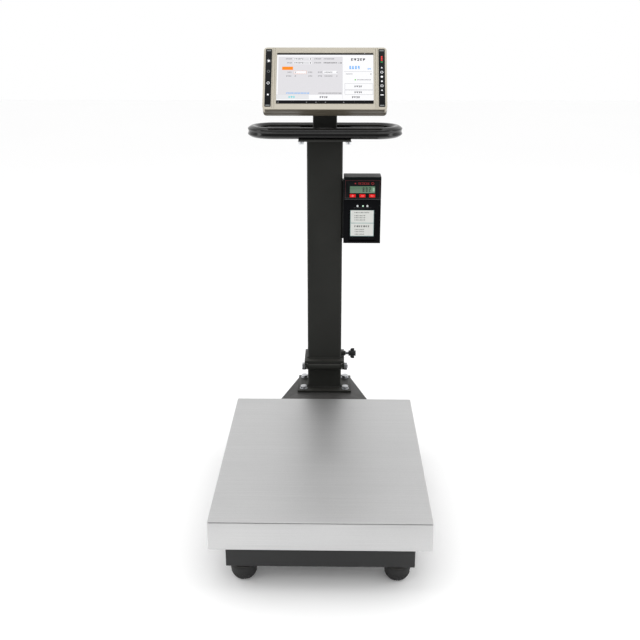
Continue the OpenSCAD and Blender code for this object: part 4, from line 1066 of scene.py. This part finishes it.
ink_y = ink_on("printer_panel", 0.06, 0.4)
border_x, border_z, line_w = (52, 138.7), (674.5, 719.2), 0.5
border = [facing(border_x, (border_z[1], border_z[1] + line_w), ink_y),
          facing((border_x[0], border_x[0] + line_w), border_z, ink_y),
          facing((border_x[1] - line_w, border_x[1]), border_z, ink_y)]
add_on(join(border, "panel_border"), border_red, "printer_panel")
signs = []
for i in range(6):
    left = 84 + 5 * i
    stem = left + (0.3 if i % 2 else 1.9)
    signs.append(facing((left, left + 3.3), (713.2, 713.9), ink_y))
    signs.append(facing((stem, stem + 0.7), (709.9, 713.4), ink_y))
    signs.append(facing((left, left + 3.3), (709.6, 710.3), ink_y))
signs.append(facing((75.4, 78.4), (710.4, 713.0), ink_y, corner=0.5))
ring_at = (120.3 * MM, (ink_y[0] + 0.15) * MM, 711.8 * MM)
signs.append(primitive("torus", "mark", location=ring_at, rotation=(math.radians(90), 0, 0),
                       major_radius=2.8 * MM, minor_radius=0.45 * MM, major_segments=32, minor_segments=8))
add_on(join(signs, "panel_signs"), ink_red, "printer_panel")
seams = [facing((50, 140.5), z, ink_y) for z in ((671.4, 671.8), (675.0, 675.25))]
add_on(join(seams, "panel_lines"), ink_pale, "printer_panel")

# ---- printer window ----
# A small green LCD under a clear lens, with dark seven-segment digits that lie on the glass like the real
# crystal's bars, and a lighter patch where the lamp behind it is.
green_glass = coated("lcd_green", (0.115, 0.205, 0.130), grain=5 * MM, spread=0.12, gloss=(0.10, 0.16),
                     bump=0.02, Coat_Weight=0.3, Coat_Roughness=0.05)
soften("printer_window", 0.4 * MM, green_glass, 2)
crystal = printed("crystal_dark", (0.006, 0.016, 0.012))
crystal_pale = printed("crystal_pale", (0.085, 0.150, 0.098))
lamp_patch = printed("crystal_bright", (0.26, 0.42, 0.30))
bars = [facing(bar[:2], bar[2:], ink_on("printer_window", 0.05, 0.3))
        for bar in digit_bars("802", 95.4, 690.2, 11.6, 1.7, 7.8)]
add_on(join(bars, "crystal_bars"), crystal, "printer_window")
bars = [facing(bar[:2], bar[2:], ink_on("printer_window", 0.03, 0.3))
        for bar in digit_bars("8888", 66, 691, 9.6, 0.8, 6.6)]
add_on(join(bars, "crystal_ghosts"), crystal_pale, "printer_window")
patch = facing((120.6, 125.8), (691.6, 701.2), ink_on("printer_window", 0.04, 0.3), 0.6)
add_on(join([patch], "crystal_lamp"), lamp_patch, "printer_window")

# ---- printer buttons ----
# Three glossy red push buttons with pale signs, and below them two small white buttons with a lamp between.
# All are moulded caps with rounded tops in a close gap.
red_cap = coated("red_cap", (0.740, 0.010, 0.009), grain=0.6 * MM, spread=0.1, gloss=(0.20, 0.30),
                 bump=0.08, bare=(0.45, 0.06, 0.05), worn=0.3, dust=0.02, Specular_IOR_Level=0.25)
white_cap = coated("white_cap", (0.62, 0.63, 0.62), grain=0.5 * MM, spread=0.06, gloss=(0.25, 0.35),
                   bump=0.08, bare=(0.5, 0.5, 0.48), worn=0.3, dust=0.04, Subsurface_Weight=0.05)
cap_sign = printed("cap_sign", (0.70, 0.36, 0.32))
printer_mid_x, button_pitch = 95.0, 24.5
for i, hand in enumerate(("left", "mid", "right")):
    name, x = "red_button_" + hand, printer_mid_x + (i - 1) * button_pitch
    soften(name, 1.3 * MM, red_cap, 5)
    ink_y = ink_on(name, 0.04, 0.3)
    strokes = [facing((x - 3.2, x + 3.2), (680.3, 681.1), ink_y)]
    if hand == "left":
        strokes.append(facing((x - 0.4, x + 0.4), (678.2, 683.2), ink_y))
    if hand == "right":
        strokes.append(facing((x - 3.2, x - 2.4), (680.3, 683.0), ink_y))
    add_on(join(strokes, name + "_sign"), cap_sign, name)
for name in ("white_button_left", "white_button_right"):
    soften(name, 0.6 * MM, white_cap, 3)
lamp_lens = coated("lamp_lens", (0.42, 0.60, 0.46), grain=2 * MM, spread=0.1, gloss=(0.12, 0.2), bump=0.05,
                   Emission_Color=(0.55, 0.95, 0.68, 1), Emission_Strength=0.45)
soften("status_light", 0.4 * MM, lamp_lens, 3)
ink_y = ink_on("printer_front", 0.05, 0.4)
lines = [facing((73.6, 117.7), (649.6, 649.9), ink_y), facing((94.9, 95.15), (651.0, 657.5), ink_y)]
for x in (81.5, 106.5):
    lines.append(facing((x, x + 3), (658.6, 659.2), ink_y))
add_on(join(lines, "front_lines"), ink_pale, "printer_front")

# ---- paper path ----
# The lower door opens down to the label roll. A rubber platen roller presses the strip to the print head, and
# the strip hangs over the door with two labels on waxed backing.
platen = coated("platen_rubber", (0.035, 0.035, 0.037), grain=0.5 * MM, spread=0.1, gloss=(0.5, 0.62),
                bump=0.2, dust=0.1)
ceramic = coated("print_head_ceramic", (0.30, 0.29, 0.27), grain=0.6 * MM, gloss=(0.3, 0.45), bump=0.2)
soften("paper_door", 0.5 * MM, abs_black, 3)
soften("platen_roller", 0.2 * MM, platen)
soften("print_head", 0.3 * MM, ceramic)


def paper(name, colour):
    """Uncoated paper: fine fibres in two directions and a slow drift of tone across the roll."""
    mat, tree, shader = blank(name)
    where = put(tree, "TexCoord").outputs["Object"]
    fibres = put(tree, "TexNoise", {"Vector": where, "Scale": 3800.0, "Detail": 3.0}).outputs["Fac"]
    drift = put(tree, "TexNoise", {"Vector": where, "Scale": 60.0, "Detail": 2.0}).outputs["Fac"]
    shade = put(tree, "Mix", {"Factor": 0.4, 2: fibres, 3: drift}).outputs[0]
    tone = fit(tree, shade, (0.3, 0.7), (0.94, 1.03))
    tint = put(tree, "HueSaturation", {"Value": tone, "Color": (*colour, 1)}).outputs[0]
    bumps = put(tree, "Bump", {"Height": fibres, "Strength": 0.15, "Distance": 0.03 * MM}).outputs[0]
    tree.links.new(tint, shader.inputs["Base Color"])
    tree.links.new(bumps, shader.inputs["Normal"])
    set_sockets(shader, Roughness=0.72, Specular_IOR_Level=0.3)
    return mat


backing = paper("waxed_backing", (0.26, 0.38, 0.37))
label_white = paper("label_paper", (0.64, 0.65, 0.62))
soften("paper_roll", 0.3 * MM, label_white)
soften("paper_strip", 0.05 * MM, backing)
printing = printed("thermal_print", (0.012, 0.013, 0.014))
printing_pale = printed("thermal_print_pale", (0.13, 0.14, 0.14))
label_y, text_y = ink_on("paper_strip", 0.05, 0.1), ink_on("paper_strip", 0.08, 0.05)
labels = [facing((66.2, 123.8), z, label_y, 1.2) for z in ((611.6, 643.4), (577.8, 609.8))]
add_on(join(labels, "labels"), label_white, "paper_strip")


def text_line(x, z, tall, count):
    """A line of short made-up signs on a label."""
    pitch = (x[1] - x[0]) / count
    row = []
    for i in range(count):
        left = x[0] + i * pitch
        wide = pitch * (0.55, 0.8, 0.66)[i % 3]
        row.append(facing((left, left + wide), (z + tall * (0.6, 0.45, 0.7)[i % 3], z + tall), text_y))
        row.append(facing((left + wide * 0.2, left + wide * 0.6), (z, z + tall * 0.9), text_y))
        row.append(facing((left, left + wide * 0.9), (z, z + tall * 0.3), text_y))
    return row


add_on(join(text_line((75.6, 115.7), 600.4, 4.0, 7), "label_titles"), printing, "paper_strip")
rows = text_line((75.6, 114.5), 636.6, 2.4, 10)
for z in (628.8, 623.5, 617.6):
    rows += text_line((75.6, 103.5), z, 2.3, 8)
for z in (592.8, 587.4, 580.6):
    rows += text_line((76.9, 101.9), z, 2.3, 7)
add_on(join(rows, "label_rows"), printing_pale, "paper_strip")
bpy.data.objects.remove(one_tile)
